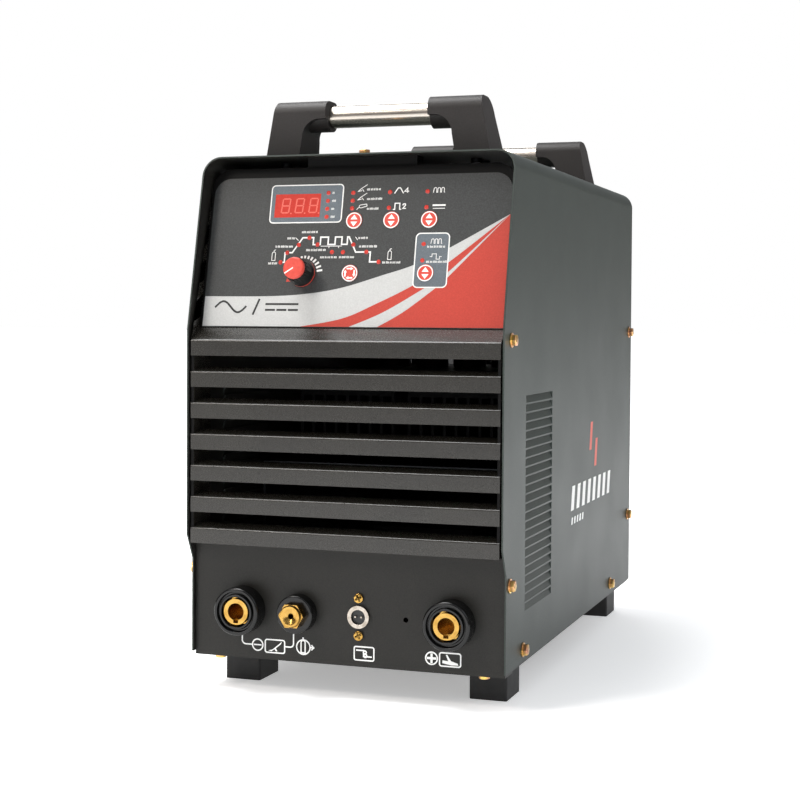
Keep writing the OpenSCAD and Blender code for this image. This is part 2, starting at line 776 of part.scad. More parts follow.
module handle_screws() {
    color("#c79a4a") handle_screw_places() {
        rod(handle_screw_d, -sheet - 0.1, handle_screw_l);
        rod(9, -sheet - 3.4, -sheet);
    }
}

// Feet and the screws under the base
module foot_places() {
    for (x = [-foot_x + foot_w / 2, foot_x - foot_w / 2],
            y = [y_front + foot_front + foot_l / 2, y_rear - foot_rear - foot_l / 2])
        translate([x, y, foot_h]) children();
}
module foot_outline(r) {
    square([foot_w - 2 * r, foot_l], center = true);
    square([foot_w, foot_l - 2 * r], center = true);
    for (x = [-1, 1], y = [-1, 1]) translate([x * (foot_w / 2 - r), y * (foot_l / 2 - r)]) circle(r);
}
module feet() {
    color("#2a2a2a") foot_places() translate([0, 0, -foot_h]) difference() {
        linear_extrude(foot_h) foot_outline(2);
        translate([0, 0, -1]) cylinder(d = 12, h = foot_h - 7);
        cylinder(r = base_screw_d / 2 + screw_gap, h = 3 * foot_h, center = true);
    }
}
module pan_screw(d, head_d, head_h, l) {
    rod(d, -0.1, l);
    rod(head_d, -head_h / 2, 0);
    translate([0, 0, -head_h]) cylinder(d1 = head_d * 0.6, d2 = head_d, h = head_h / 2 + 0.02);
}
module base_screws() {
    color("#d8ae55") {
        both_sides() translate([base_screw_x, base_screw_y, foot_h - sheet])
            pan_screw(base_screw_d, 8.4, 3, 8);
        foot_places() translate([0, 0, -8]) pan_screw(base_screw_d, 8.4, 3, 14);
    }
}

// Case bolts: hexagon head with a cross recess, on a plain washer
module bolt_places() {
    both_sides() for (p = side_bolt_places) translate([half_w, p[0], p[1]]) rotate([0, 90, 0])
        children();
    for (y = top_bolt_ys) translate([0, y, case_top]) children();
}
module case_bolts() {
    color("#cfa95c") bolt_places() difference() {
        union() {
            rod(bolt_d, -bolt_l, washer_t + 0.1);
            hex_bar(bolt_flats, washer_t, washer_t + bolt_head);
        }
        for (a = [0, 90]) rotate(a)
            box([-2.2, 2.2], [-0.5, 0.5], [washer_t + 1.5, washer_t + bolt_head + 1]);
    }
}
module case_washers() {
    color("#cdb277") bolt_places() difference() {
        rod(washer_d, 0, washer_t);
        rod(bolt_d + 2 * screw_gap, -1, washer_t + 1);
    }
}

// Fan
module fan_corners() {
    for (x = [-1, 1], z = [-1, 1]) on_rear(x * fan_pitch / 2, fan_z + z * fan_pitch / 2) children();
}
module fan_frame() {
    color("#202020") difference() {
        union() {
            difference() {
                box([-fan_size / 2, fan_size / 2], [fan_y, rear_y - sheet],
                    [fan_z - fan_size / 2, fan_z + fan_size / 2]);
                on_rear(0, fan_z) rod(2 * fan_bore, -fan_t - 5, 1);
            }
            on_rear(0, fan_z) {
                rod(2 * fan_hub_r, -sheet - fan_t, -sheet - fan_t + 5);
                for (a = [0, 90, 180, 270]) rotate(a + 45)
                    box([0, fan_bore + 1], [-2, 2], [-sheet - fan_t, -sheet - fan_t + 3]);
            }
        }
        on_rear(0, fan_z) rod(2 * fan_pin_r + 0.1, -fan_t - 10, 0);
        fan_corners() rod(4 + 2 * screw_gap, -fan_t - 10, 1);
    }
}
module fan_rotor() {
    h0 = -sheet - fan_t + 6;
    color("#2c2c2c") on_rear(0, fan_z) {
        rod(2 * fan_hub_r - 2, h0, h0 + 26);
        rod(2 * fan_pin_r, h0 - 5, h0 + 0.1);
        for (a = [0 : 360 / 7 : 359]) rotate(a)
            translate([0, 0, h0 + 13]) rotate([38, 0, 0])
                box([fan_hub_r - 3, fan_bore - 4], [-14, 14], [-1, 1]);
    }
}
module fan_guard() {
    r_out = fan_bore - 1;
    color("#9a9c9e") on_rear(0, fan_z) {
        for (r = [r_out : -11 : 10]) difference() {
            rod(2 * r, guard_t - 0.1, 2 * guard_t);
            rod(2 * r - 3.6, 1, 4);
        }
        for (a = [45, 135]) rotate(a) for (side = [0, 180]) rotate(side)
            box([0, fan_pitch / sqrt(2) - 3], [-1, 1], [0, guard_t]);
    }
    color("#9a9c9e") fan_corners() difference() {
        rod(10, 0, guard_t);
        rod(4 + 2 * screw_gap, -1, 3);
    }
}
module fan_screws() {
    color("#c79a4a") fan_corners() {
        rod(4, -14, guard_t + 0.1);
        rod(8, guard_t, guard_t + 2.3);
    }
}

// Supply breaker with its lever
module breaker_body() {
    color("#1f1f1f") on_rear(breaker_x, breaker_z) difference() {
        union() {
            box([-breaker_w / 2, breaker_w / 2], [-breaker_h / 2, breaker_h / 2], [-breaker_l, 0.1]);
            box([-breaker_w / 2 - 4, breaker_w / 2 + 4], [-breaker_h / 2 - 4, breaker_h / 2 + 4],
                [0, 3]);
        }
        box([-7, 7], [-15, 15], [-12, 4]);
        rotate([0, 90, 0]) translate([4, 0, 0])
            cylinder(r = lever_pin_r + 0.05, h = 20, center = true);
    }
}
module breaker_lever() {
    color("#111111") on_rear(breaker_x, breaker_z) translate([0, 0, -4]) {
        rotate([0, 90, 0]) cylinder(r = lever_pin_r, h = 19, center = true);
        rotate([0, 90, 0]) cylinder(r = 5, h = 12, center = true);
        rotate([-20, 0, 0]) box([-5, 5], [-2.5, 2.5], [0, 17]);
    }
}

// Supply gland, gas inlet, earth stud and the blank plate
module cable_gland() {
    color("#262626") on_rear(gland_x, gland_z) difference() {
        union() {
            hex_bar(gland_hex, 0, 9);
            rod(gland_d, 8.9, gland_reach - 4);
            translate([0, 0, gland_reach - 4]) cylinder(d1 = gland_d, d2 = gland_d - 6, h = 4);
            rod(gland_stem_d, -14, 0.1);
            hex_bar(gland_hex, -sheet - 6, -sheet);
        }
        rod(gland_bore, -15, gland_reach + 1);
    }
}
module gas_inlet() {
    color("#d6a445") on_rear(gas_x, gas_z) difference() {
        union() {
            hex_bar(gas_hex, 0, gas_hex_t);
            rod(gas_spigot_d, gas_hex_t - 0.1, gas_reach - 1);
            translate([0, 0, gas_reach - 1])
                cylinder(d1 = gas_spigot_d, d2 = gas_spigot_d - 2, h = 1);
            rod(stem_d, -12, 0.1);
        }
        rod(5, -13, gas_reach + 1);
    }
}
module solenoid_valve() {
    d = rear_y - valve_y;
    color("#b89a54") on_rear(gas_x, gas_z) {
        difference() {
            union() {
                box([-11, 11], [-11, 11], [-d, -12]);
                rod(hose_d + 3, -d - 9, -d + 0.1);
            }
            rod(hose_d, -d - 10, -d - 1);
        }
    }
    color("#2b2b2b") translate([gas_x, valve_y + 24, gas_z]) box([-14, 14], [-14, 14], [10.9, 44]);
}
module gas_hose() {
    r = hose_bend;
    d = hose_d - 0.1;
    tail = plate_y + torch_l + 22 - torch_reach - 6;
    color("#2e3338") translate([0, 0, gas_z]) difference() {
        union() {
            translate([gas_x, hose_y + r, 0]) rotate([-90, 0, 0])
                cylinder(d = d, h = valve_y - 1.3 - hose_y - r);
            translate([gas_x - r, hose_y + r, 0]) rotate([0, 0, -90]) rotate_extrude(angle = 90)
                translate([r, 0]) circle(d = d);
            translate([torch_x + r, hose_y, 0]) rotate([0, 90, 0])
                cylinder(d = d, h = gas_x - torch_x - 2 * r);
            translate([torch_x + r, hose_y - r, 0]) rotate([0, 0, 90]) rotate_extrude(angle = 90)
                translate([r, 0]) circle(d = d);
            translate([torch_x, tail, 0]) rotate([-90, 0, 0])
                cylinder(d = d, h = hose_y - r - tail);
        }
        translate([torch_x, tail - 1, 0]) rotate([-90, 0, 0]) cylinder(d = 8.02, h = 9);
    }
}
module earth_stud() {
    color("#d0ae63") on_rear(0, earth_z) {
        rod(earth_d, -14, earth_l);
        difference() {
            union() {
                hex_bar(10, 0, 5);
                hex_bar(10, -sheet - 5, -sheet);
            }
            rod(earth_d - 0.2, -20, 20);
        }
    }
}
module rating_plate() {
    color("#c9cacb") on_rear(label_x, breaker_z)
        box([-label_w / 2, label_w / 2], [-label_h / 2, label_h / 2], [0, label_t]);
}

// Inner shelf: a bridge of sheet that stands on the tray
module inner_shelf() {
    y = [y_front + 104, rear_y - 70];
    color("#9ea1a3") {
        box([-shelf_x, shelf_x], y, [shelf_z - 1.5, shelf_z]);
        both_sides() box([shelf_x - 1.5, shelf_x], y, [floor_z, shelf_z - 1]);
        both_sides() box([shelf_x - 14, shelf_x], y, [floor_z, floor_z + 1.5]);
    }
}
module heat_sinks() {
    z1 = shelf_z + sink_h;
    color("#c4c7ca") both_sides() {
        box([6, 6 + sink_w], sink_y, [z1 - sink_base, z1]);
        for (i = [0 : 8]) {
            x = 6 + i * (sink_w - 2.4) / 8;
            box([x, x + 2.4], sink_y, [shelf_z, z1 - sink_base + 0.1]);
        }
    }
}
module power_modules() {
    z = shelf_z + sink_h;
    color("#1c1c1c") both_sides() for (i = [0 : 2]) box([20, 20 + 48],
        [sink_y[0] + 12 + i * 66, sink_y[0] + 12 + i * 66 + 48], [z, z + module_h]);
}
module power_board() {
    z = shelf_z + sink_h + module_h;
    color("#1f5a36") box([-4 - sink_w, 4 + sink_w], sink_y, [z, z + board_t]);
}
module capacitors() {
    z = shelf_z + sink_h + module_h + board_t;
    color("#22303c") for (i = [0 : 3]) translate([-54 + 36 * i, mid_y + 40, z])
        cylinder(d = 30, h = 45);
}
module transformer_core() {
    color("#4a4a4a") difference() {
        box([-45, 45], [mid_y - 40, mid_y + 10], [floor_z, floor_z + 80]);
        for (x = [-1, 1]) box([x * 20 - 10, x * 20 + 10], [mid_y - 41, mid_y + 11],
            [floor_z + 15, floor_z + 65]);
    }
}
module transformer_winding() {
    z = [floor_z + 15.4, floor_z + 64.6];
    color("#b87333") difference() {
        box([-29.5, 29.5], [mid_y - 55, mid_y + 25], z);
        box([-10.3, 10.3], [mid_y - 40.3, mid_y + 10.3], [z[0] - 1, z[1] + 1]);
    }
}
module output_inductor() {
    color("#a3692f") translate([-30, mid_y + 90, floor_z]) difference() {
        cylinder(d = 84, h = 46);
        translate([0, 0, -1]) cylinder(d = 34, h = 48);
    }
}
module current_sensor() {
    color("#2a2a2a") difference() {
        box([-socket_x - 12, -socket_x + 12], [plate_y + 52, plate_y + 66],
            [floor_z, socket_z + 16]);
        box([-socket_x - 7.2, -socket_x + 7.2], [plate_y + 51, plate_y + 67],
            [socket_z - 1.7, socket_z + 1.7]);
    }
}
module output_straps() {
    rear_end = plate_y + insert_l - collar_l;
    color("#b87333") {
        box([-socket_x - 7, -socket_x + 7], [rear_end, mid_y - 56], [socket_z - 1.5, socket_z + 1.5]);
        box([-socket_x - 7, -29.6], [mid_y - 56.1, mid_y - 44], [socket_z - 1.5, socket_z + 1.5]);
        box([socket_x - 3, socket_x + 3], [rear_end, rear_end + 24], [socket_z - 1.5, socket_z + 1.5]);
    }
}

cover();
base_tray();
front_plate();
front_moulding();
rear_panel();
control_overlay();
display_window();
display_module();
control_board();
indicator_leds();
key_switches();
key_1();
key_2();
key_3();
key_4();
key_5();
knob_body();
knob_cap();
encoder_body();
encoder_shaft();
negative_collar();
negative_insert();
positive_collar();
positive_insert();
torch_collar();
torch_connector();
signal_ring();
signal_insert();
signal_screws();
front_handle_brackets();
front_grip_tube();
rear_handle_brackets();
rear_grip_tube();
handle_screws();
feet();
base_screws();
case_bolts();
case_washers();
fan_frame();
fan_rotor();
fan_guard();
fan_screws();
breaker_body();
breaker_lever();
cable_gland();
gas_inlet();
solenoid_valve();
gas_hose();
earth_stud();
rating_plate();
inner_shelf();
heat_sinks();
power_modules();
power_board();
capacitors();
transformer_core();
transformer_winding();
output_inductor();
output_straps();
current_sensor();
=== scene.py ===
import math
from random import Random

import bmesh
import bpy
from mathutils import Matrix, Vector


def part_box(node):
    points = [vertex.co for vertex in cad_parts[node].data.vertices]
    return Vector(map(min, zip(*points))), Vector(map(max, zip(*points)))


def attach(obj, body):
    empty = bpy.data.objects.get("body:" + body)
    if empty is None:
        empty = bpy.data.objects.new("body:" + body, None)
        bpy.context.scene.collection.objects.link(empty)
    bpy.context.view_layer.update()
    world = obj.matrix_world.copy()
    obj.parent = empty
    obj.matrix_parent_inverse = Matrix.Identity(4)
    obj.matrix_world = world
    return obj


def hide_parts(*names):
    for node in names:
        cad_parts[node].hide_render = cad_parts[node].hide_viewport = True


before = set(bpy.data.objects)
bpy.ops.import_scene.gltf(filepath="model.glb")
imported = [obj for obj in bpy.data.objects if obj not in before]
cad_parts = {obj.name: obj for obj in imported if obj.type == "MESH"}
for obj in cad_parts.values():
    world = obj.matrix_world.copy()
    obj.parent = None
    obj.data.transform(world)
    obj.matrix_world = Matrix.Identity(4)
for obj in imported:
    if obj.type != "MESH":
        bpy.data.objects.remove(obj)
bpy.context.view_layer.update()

# Camera, light and floor
# A studio table: a white floor that runs out of sight, a large soft box high on the left,
# a wide one that lights the right side, and an even pale room. The lens stands a little right of
# the machine, at two thirds of its height.

MM = 0.001
case_low, case_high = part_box("cover")
eye = Vector((0, case_low.y, 0)) + Vector((434.0, -1121.8, 291.7)) * MM
turn, tilt, roll = math.radians(19.012), math.radians(1.508), math.radians(0.343)
lens = bpy.data.cameras.new("camera")
lens.sensor_width = 36
lens.lens = 72.11
lens.shift_y = -0.05
lens.clip_end = 50
camera = bpy.data.objects.new("camera", lens)
camera.matrix_world = (Matrix.Translation(eye) @ Matrix.Rotation(turn, 4, "Z")
    @ Matrix.Rotation(math.pi / 2 - tilt, 4, "X") @ Matrix.Rotation(roll, 4, "Z"))
bpy.context.collection.objects.link(camera)
bpy.context.scene.camera = camera
bpy.context.scene.view_settings.view_transform = "Standard"
bpy.context.scene.view_settings.look = "None"


def linear(code):
    """The linear colour, with alpha, of an sRGB hex code."""
    parts = [int(code[i:i + 2], 16) / 255 for i in (1, 3, 5)]
    return [p / 12.92 if p <= 0.04045 else ((p + 0.055) / 1.055) ** 2.4 for p in parts] + [1]


def add(tree, kind, settings={}, links={}):
    """Adds a node: a setting is an input's value, a ramp's two stops or a property of the node."""
    node = tree.nodes.new(kind)
    for name, value in settings.items():
        if name == "stops":
            for point, (position, code) in zip(node.color_ramp.elements, value):
                point.position, point.color = position, linear(code)
        elif name in node.inputs:
            node.inputs[name].default_value = value
        else:
            setattr(node, name, value)
    for name, socket in links.items():
        tree.links.new(socket, node.inputs[name])
    return node


def start_material(name, **values):
    """A material with its shader, whose plain values are given, and its object coordinates."""
    material = bpy.data.materials.new(name)
    material.use_nodes = True
    tree = material.node_tree
    tree.nodes.clear()
    shader = add(tree, "ShaderNodeBsdfPrincipled")
    for key, value in values.items():
        shader.inputs[key.replace("_", " ").title().replace("Ior", "IOR")].default_value = value
    add(tree, "ShaderNodeOutputMaterial", {}, {"Surface": shader.outputs["BSDF"]})
    place = add(tree, "ShaderNodeTexCoord").outputs["Object"]
    return material, tree, shader, place


def mesh_object(name, work, materials, smooth=35):
    """Turns a bmesh into an object. Edges up to the angle shade softly, and flat faces stay flat."""
    mesh = bpy.data.meshes.new(name)
    work.to_mesh(mesh)
    work.free()
    mesh.shade_smooth()
    mesh.set_sharp_from_angle(angle=math.radians(smooth))
    piece = bpy.data.objects.new(name, mesh)
    bpy.context.collection.objects.link(piece)
    for material in materials:
        mesh.materials.append(material)
    flat = piece.modifiers.new("flat_faces", "WEIGHTED_NORMAL")
    flat.keep_sharp = True
    return piece


def soft_box(name, place, size, power, tint):
    """An area light that faces the middle of the machine, with its power in watts."""
    light = bpy.data.lights.new(name, "AREA")
    light.shape = "RECTANGLE"
    light.size, light.size_y = size
    light.energy = power
    light.color = linear(tint)[:3]
    lamp = bpy.data.objects.new(name, light)
    lamp.location = place
    aim = Vector((0, 0, 0.24)) - lamp.location
    lamp.rotation_euler = aim.to_track_quat("-Z", "Y").to_euler()
    bpy.context.collection.objects.link(lamp)


soft_box("key_light", (-1.3, -1.9, 1.9), (0.6, 0.6), 22, "#fff8ef")
soft_box("side_light", (2.4, -0.6, 1.7), (1.6, 1.6), 11, "#f1f6ff")
soft_box("top_light", (-0.8, -0.3, 2.4), (1.8, 0.9), 70, "#ffffff")
soft_box("rear_light", (-1.2, 2.4, 1.3), (1.6, 1.2), 22, "#ffffff")

# The room lights the machine softly, warm from below, and is itself seen as plain white.
room = bpy.data.worlds.new("pale_room")
room.use_nodes = True
walls = room.node_tree
walls.nodes.clear()
around = add(walls, "ShaderNodeTexCoord")
height = add(walls, "ShaderNodeSeparateXYZ", {}, {"Vector": around.outputs["Generated"]})
tint = add(walls, "ShaderNodeValToRGB", {"stops": [(0.0, "#6b5443"), (0.5, "#e8ecf0")]},
    {"Fac": height.outputs["Z"]})
glow = add(walls, "ShaderNodeBackground", {"Strength": 0.6}, {"Color": tint.outputs["Color"]})
seen = add(walls, "ShaderNodeBackground", {"Color": linear("#ffffff"), "Strength": 1.0})
ray = add(walls, "ShaderNodeLightPath")
mixed = add(walls, "ShaderNodeMixShader", {}, {"Fac": ray.outputs["Is Camera Ray"]})
walls.links.new(glow.outputs[0], mixed.inputs[1])
walls.links.new(seen.outputs[0], mixed.inputs[2])
add(walls, "ShaderNodeOutputWorld", {}, {"Surface": mixed.outputs[0]})
bpy.context.scene.world = room


def white_laminate():
    """Matt laminate, almost white, with a painted glow that stands in for light: weak near the
    machine, so that its shadow shows, and strong far off, so that the floor stays white.
    """
    material, tree, shader, place = start_material("white_laminate", roughness=0.75,
        emission_color=linear("#ffffff"))
    reach = add(tree, "ShaderNodeTexGradient", {"gradient_type": "SPHERICAL"}, {"Vector": place})
    glow = add(tree, "ShaderNodeMapRange", {"To Min": 0.85, "To Max": 0.3},
        {"Value": reach.outputs["Fac"]})
    tree.links.new(glow.outputs["Result"], shader.inputs["Emission Strength"])
    cloud = add(tree, "ShaderNodeTexNoise", {"Scale": 3.0, "Detail": 3.0}, {"Vector": place})
    tone = add(tree, "ShaderNodeValToRGB", {"stops": [(0.3, "#fbfbfb"), (0.7, "#ffffff")]},
        {"Fac": cloud.outputs["Fac"]})
    tree.links.new(tone.outputs["Color"], shader.inputs["Base Color"])
    return material


work = bmesh.new()
bmesh.ops.create_grid(work, x_segments=4, y_segments=4, size=30)  # metres
mesh_object("floor", work, [white_laminate()])


# Base tray
# A tray of 1.2 mm steel, folded up at both sides and coated with black powder. It carries the
# inside and the feet, and the cover is bolted to its walls.

def powder_coat(name, dark, light, roughness):
    """Polyester powder, sprayed and baked: an orange peel and a fine fleck, drawn at 0.9 mm
    because the real 0.2 mm grain is too fine to show."""
    material, tree, shader, place = start_material(name, specular_ior_level=0.25)
    fleck = add(tree, "ShaderNodeTexNoise", {"Scale": 1 / (0.9 * MM), "Detail": 4.0, "Roughness": 0.7},
        {"Vector": place})
    tone = add(tree, "ShaderNodeValToRGB", {"stops": [(0.32, dark), (0.68, light)]},
        {"Fac": fleck.outputs["Fac"]})
    tree.links.new(tone.outputs["Color"], shader.inputs["Base Color"])
    cloud = add(tree, "ShaderNodeTexNoise", {"Scale": 1 / (60 * MM), "Detail": 2.0}, {"Vector": place})
    gloss = add(tree, "ShaderNodeMapRange", {"To Min": roughness - 0.05, "To Max": roughness + 0.05},
        {"Value": cloud.outputs["Fac"]})
    tree.links.new(gloss.outputs["Result"], shader.inputs["Roughness"])
    peel = add(tree, "ShaderNodeBump", {"Strength": 0.5, "Distance": 0.06 * MM},
        {"Height": fleck.outputs["Fac"]})
    tree.links.new(peel.outputs["Normal"], shader.inputs["Normal"])
    return material


def copy_of(node):
    """A CAD node's mesh with its loose triangles joined up, ready to be worked on."""
    work = bmesh.new()
    work.from_mesh(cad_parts[node].data)
    bmesh.ops.remove_doubles(work, verts=work.verts, dist=0.002 * MM)
    bmesh.ops.dissolve_limit(work, angle_limit=math.radians(0.5), verts=work.verts, edges=work.edges)
    return work


def ease(work, width, segments=2, angle=40, chosen=lambda edge: True):
    """Rounds the edges that turn by more than the angle, as folding, moulding and coating do. The
    width is in millimetres."""
    edges = [e for e in work.edges if e.is_manifold and chosen(e)
        and e.calc_face_angle(0) > math.radians(angle)]
    bmesh.ops.bevel(work, geom=edges, offset=width * MM, offset_type="OFFSET", segments=segments,
        affect="EDGES", profile=0.5, material=-1, clamp_overlap=True)
    bmesh.ops.remove_doubles(work, verts=work.verts, dist=0.001 * MM)
    return work


def stand_for(piece, body, slot, *nodes):
    """Puts a piece on its body in place of the CAD nodes it stands for. The slot is not used."""
    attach(piece, body)
    if nodes:
        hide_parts(*nodes)


def rounded_piece(name, node, material, slot, width, segments=2, body="case"):
    """Finishes a CAD node's own shape: rounded edges and one material."""
    work = ease(copy_of(node), width, segments)
    stand_for(mesh_object(name, work, [material]), body, slot, node)


black_powder = powder_coat("black_powder_coat", "#1d1c1a", "#282724", 0.42)
for node in ("base_tray", "front_plate"):
    rounded_piece(node + "_coated", node, black_powder, "plate_coat", 0.5)


# Feet
# Four blocks of moulded rubber under the tray, each held by a screw that sits in a deep well. The
# mould leaves their edges well rounded.

def moulded_rubber():
    """Black EPDM rubber from a plain mould: matt, faintly grey with bloom, softly mottled."""
    material, tree, shader, place = start_material("moulded_rubber", specular_ior_level=0.35)
    bloom = add(tree, "ShaderNodeTexNoise", {"Scale": 1 / (9 * MM), "Detail": 5.0}, {"Vector": place})
    tone = add(tree, "ShaderNodeValToRGB", {"stops": [(0.3, "#1a1a1a"), (0.75, "#282828")]},
        {"Fac": bloom.outputs["Fac"]})
    tree.links.new(tone.outputs["Color"], shader.inputs["Base Color"])
    gloss = add(tree, "ShaderNodeMapRange", {"To Min": 0.5, "To Max": 0.7},
        {"Value": bloom.outputs["Fac"]})
    tree.links.new(gloss.outputs["Result"], shader.inputs["Roughness"])
    pore = add(tree, "ShaderNodeTexNoise", {"Scale": 1 / (0.8 * MM)}, {"Vector": place})
    bump = add(tree, "ShaderNodeBump", {"Strength": 0.4, "Distance": 0.08 * MM},
        {"Height": pore.outputs["Fac"]})
    tree.links.new(bump.outputs["Normal"], shader.inputs["Normal"])
    return material


rounded_piece("rubber_feet", "feet", moulded_rubber(), "foot_rubber", 1.2, 3)


# Front plate print
# White screen print under the sockets: which pole, torch, gas and switch each one is for. It lies
# 0.03 mm proud of the coat, as a baked ink does.

plate_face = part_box("front_plate")[0].y
plate = Matrix(((1, 0, 0, 0), (0, 0, -1, plate_face), (0, 1, 0, 0), (0, 0, 0, 1)))
INK = 0.03
PLATE_LINE = 1.05


def screen_ink(name, dark, light):
    """Screen-printed ink, baked on: one colour, a little uneven where the mesh laid it down."""
    material, tree, shader, place = start_material(name, roughness=0.5)
    mesh_mark = add(tree, "ShaderNodeTexNoise", {"Scale": 1 / (1.2 * MM), "Detail": 3.0},
        {"Vector": place})
    tone = add(tree, "ShaderNodeValToRGB", {"stops": [(0.25, dark), (0.75, light)]},
        {"Fac": mesh_mark.outputs["Fac"]})
    tree.links.new(tone.outputs["Color"], shader.inputs["Base Color"])
    return material


def strokes(work, face, width, height, *lines):
    """Lines of an even width on a face, in millimetres: mitred ribbons, square at open ends. Each of
    six in turn lies a hair above the one before it, so that lines that cross share no plane."""
    for n, line in enumerate(lines):
        top = height + 0.004 * (n % 6)
        points = [Vector(p) for p, q in zip(line, line[1:]) if math.dist(p, q) > 0.01]
        points.append(Vector(line[-1]))
        closed = (points[0] - points[-1]).length < 0.02
        if closed:
            points.pop()
        ways = [(b - a).normalized() for a, b in zip(points, points[1:] + points[:1])]
        rungs, last = [], len(points) - 1
        for i, here in enumerate(points):
            into = ways[i - 1] if closed or i else ways[0]
            away = ways[i] if closed or i < last else ways[i - 1]
            if not closed and i in (0, last):
                here = here + away * (width / 2 if i else -width / 2)
            across = Vector((-into.y - away.y, into.x + away.x)).normalized()
            across *= width / 2 / max(across.dot(Vector((-into.y, into.x))), 0.5)
            rungs.append([work.verts.new(face @ (Vector((*(here + across * side), z)) * MM))
                for side, z in ((-1, -height), (1, -height), (1, top), (-1, top))])
        for a, b in zip(rungs, rungs[1:] + rungs[:1] if closed else rungs[1:]):
            for k in range(4):
                work.faces.new((a[k - 1], a[k], b[k], b[k - 1]))
        if not closed:
            work.faces.new(rungs[0])
            work.faces.new(rungs[-1])


def patch(work, face, height, outline, holes=()):
    """A filled shape on a face, with any holes left out of it."""
    edges = []
    for loop in (outline, *holes):
        verts = [work.verts.new(face @ (Vector((x, y, height)) * MM)) for x, y in loop]
        edges += [work.edges.new(pair) for pair in zip(verts, verts[1:] + verts[:1])]
    filled = bmesh.ops.triangle_fill(work, use_beauty=True, use_dissolve=False, edges=edges)
    faces = [g for g in filled["geom"] if isinstance(g, bmesh.types.BMFace)]
    sides = bmesh.ops.extrude_face_region(work, geom=faces)
    low = [g for g in sides["geom"] if isinstance(g, bmesh.types.BMVert)]
    bmesh.ops.translate(work, verts=low, vec=face.to_3x3() @ Vector((0, 0, -2 * height * MM)))


def arc(x, y, radius, start=0, stop=360, steps=24):
    """Points along an arc, its angles in degrees from the face's first axis to its second."""
    return [(x + radius * math.cos(math.radians(start + (stop - start) * i / steps)),
        y + radius * math.sin(math.radians(start + (stop - start) * i / steps)))
        for i in range(steps + 1)]


def rounded(x0, y0, x1, y1, radius):
    """The outline of a rounded rectangle, closed."""
    corners = ((x1, y1, 0), (x0, y1, 90), (x0, y0, 180), (x1, y0, 270))
    middle_x, middle_y = (x0 + x1) / 2, (y0 + y1) / 2
    line = []
    for x, y, start in corners:
        inner = (x + math.copysign(radius, middle_x - x), y + math.copysign(radius, middle_y - y))
        line += arc(*inner, radius, start, start + 90, 6)
    return line + line[:1]


def printed(name, work, material, body="case", slot="overlay_film"):
    """Finishes a print: faces outwards, then it rides with what it is printed on."""
    bmesh.ops.recalc_face_normals(work, faces=work.faces)
    stand_for(mesh_object(name, work, [material], 20), body, slot)


white_ink = screen_ink("white_ink", "#e6e6e4", "#f4f4f2")
work = bmesh.new()
strokes(work, plate, PLATE_LINE, INK,
    [(-86, 45), *arc(-83, 40.2, 3, 180, 270, 6), (-77.6, 37.2)], arc(-72.9, 37.2, 4.4),
    [(-75.6, 37.2), (-70.2, 37.2)],
    rounded(-66.5, 31.9, -50.2, 41.9, 1.6), [(-50, 37.2), *arc(-45.6, 40, 2.8, 270, 360, 6),
        (-42.8, 47)],
    arc(-34.6, 38, 5.6), [(-28.8, 38), (-26, 38)], [(-27.6, 39.6), (-26, 38), (-27.6, 36.4)],
    [*arc(-34.8, 41.5, 1.7, 180, 0, 8), (-33.1, 33.6), (-36.5, 33.6), (-36.5, 41.5)],
    [(-34.8, 43.6), (-34.8, 45)],
    rounded(7.2, 31.5, 23.1, 41.7, 1.4), [(9.2, 39), (14.8, 39), (14.8, 34.4), (21, 34.4)],
    arc(15.8, 37.6, 1.2, steps=10), arc(16.2, 35, 1.2, steps=10),
    arc(69, 37.2, 4.6), rounded(75.3, 32, 91.8, 42, 1.6))
strokes(work, plate, 1.7, INK, [(66.2, 37.2), (71.8, 37.2)], [(69, 34.4), (69, 40)])
patch(work, plate, INK, [(-64, 33.4), (-60.6, 34.2), (-54.4, 39.2), (-52.6, 40.8), (-53.4, 38.8),
    (-57.6, 35.4), (-56.2, 33.2), (-57.4, 32.9), (-58.8, 34.6), (-61.2, 32.9)])
patch(work, plate, INK, [(77.4, 34.2), (84.4, 33), (90, 33.2), (89.4, 34.6), (84.2, 36.2),
    (81.2, 40.8), (80.2, 40.4), (82.2, 35.9), (77.6, 36.4)])
printed("socket_symbols", work, white_ink, slot="plate_coat")


# Plug sockets
# Two twist-lock sockets: a collar of glass-filled nylon bolted through the plate, round a turned
# brass insert with its key slot. The collars shine where the mould was polished.

def glossy_nylon(name, dark, light, roughness, specular_ior_level=0.5):
    """Black glass-filled nylon: glossy where the mould was polished, faintly clouded by fibre."""
    material, tree, shader, place = start_material(name, specular_ior_level=specular_ior_level)
    flow = add(tree, "ShaderNodeTexNoise", {"Scale": 1 / (4 * MM), "Detail": 5.0}, {"Vector": place})
    tone = add(tree, "ShaderNodeValToRGB", {"stops": [(0.3, dark), (0.7, light)]},
        {"Fac": flow.outputs["Fac"]})
    tree.links.new(tone.outputs["Color"], shader.inputs["Base Color"])
    gloss = add(tree, "ShaderNodeMapRange", {"To Min": roughness - 0.06, "To Max": roughness + 0.08},
        {"Value": flow.outputs["Fac"]})
    tree.links.new(gloss.outputs["Result"], shader.inputs["Roughness"])
    grain = add(tree, "ShaderNodeTexNoise", {"Scale": 1 / (0.8 * MM)}, {"Vector": place})
    bump = add(tree, "ShaderNodeBump", {"Strength": 0.15, "Distance": 0.04 * MM},
        {"Height": grain.outputs["Fac"]})
    tree.links.new(bump.outputs["Normal"], shader.inputs["Normal"])
    return material


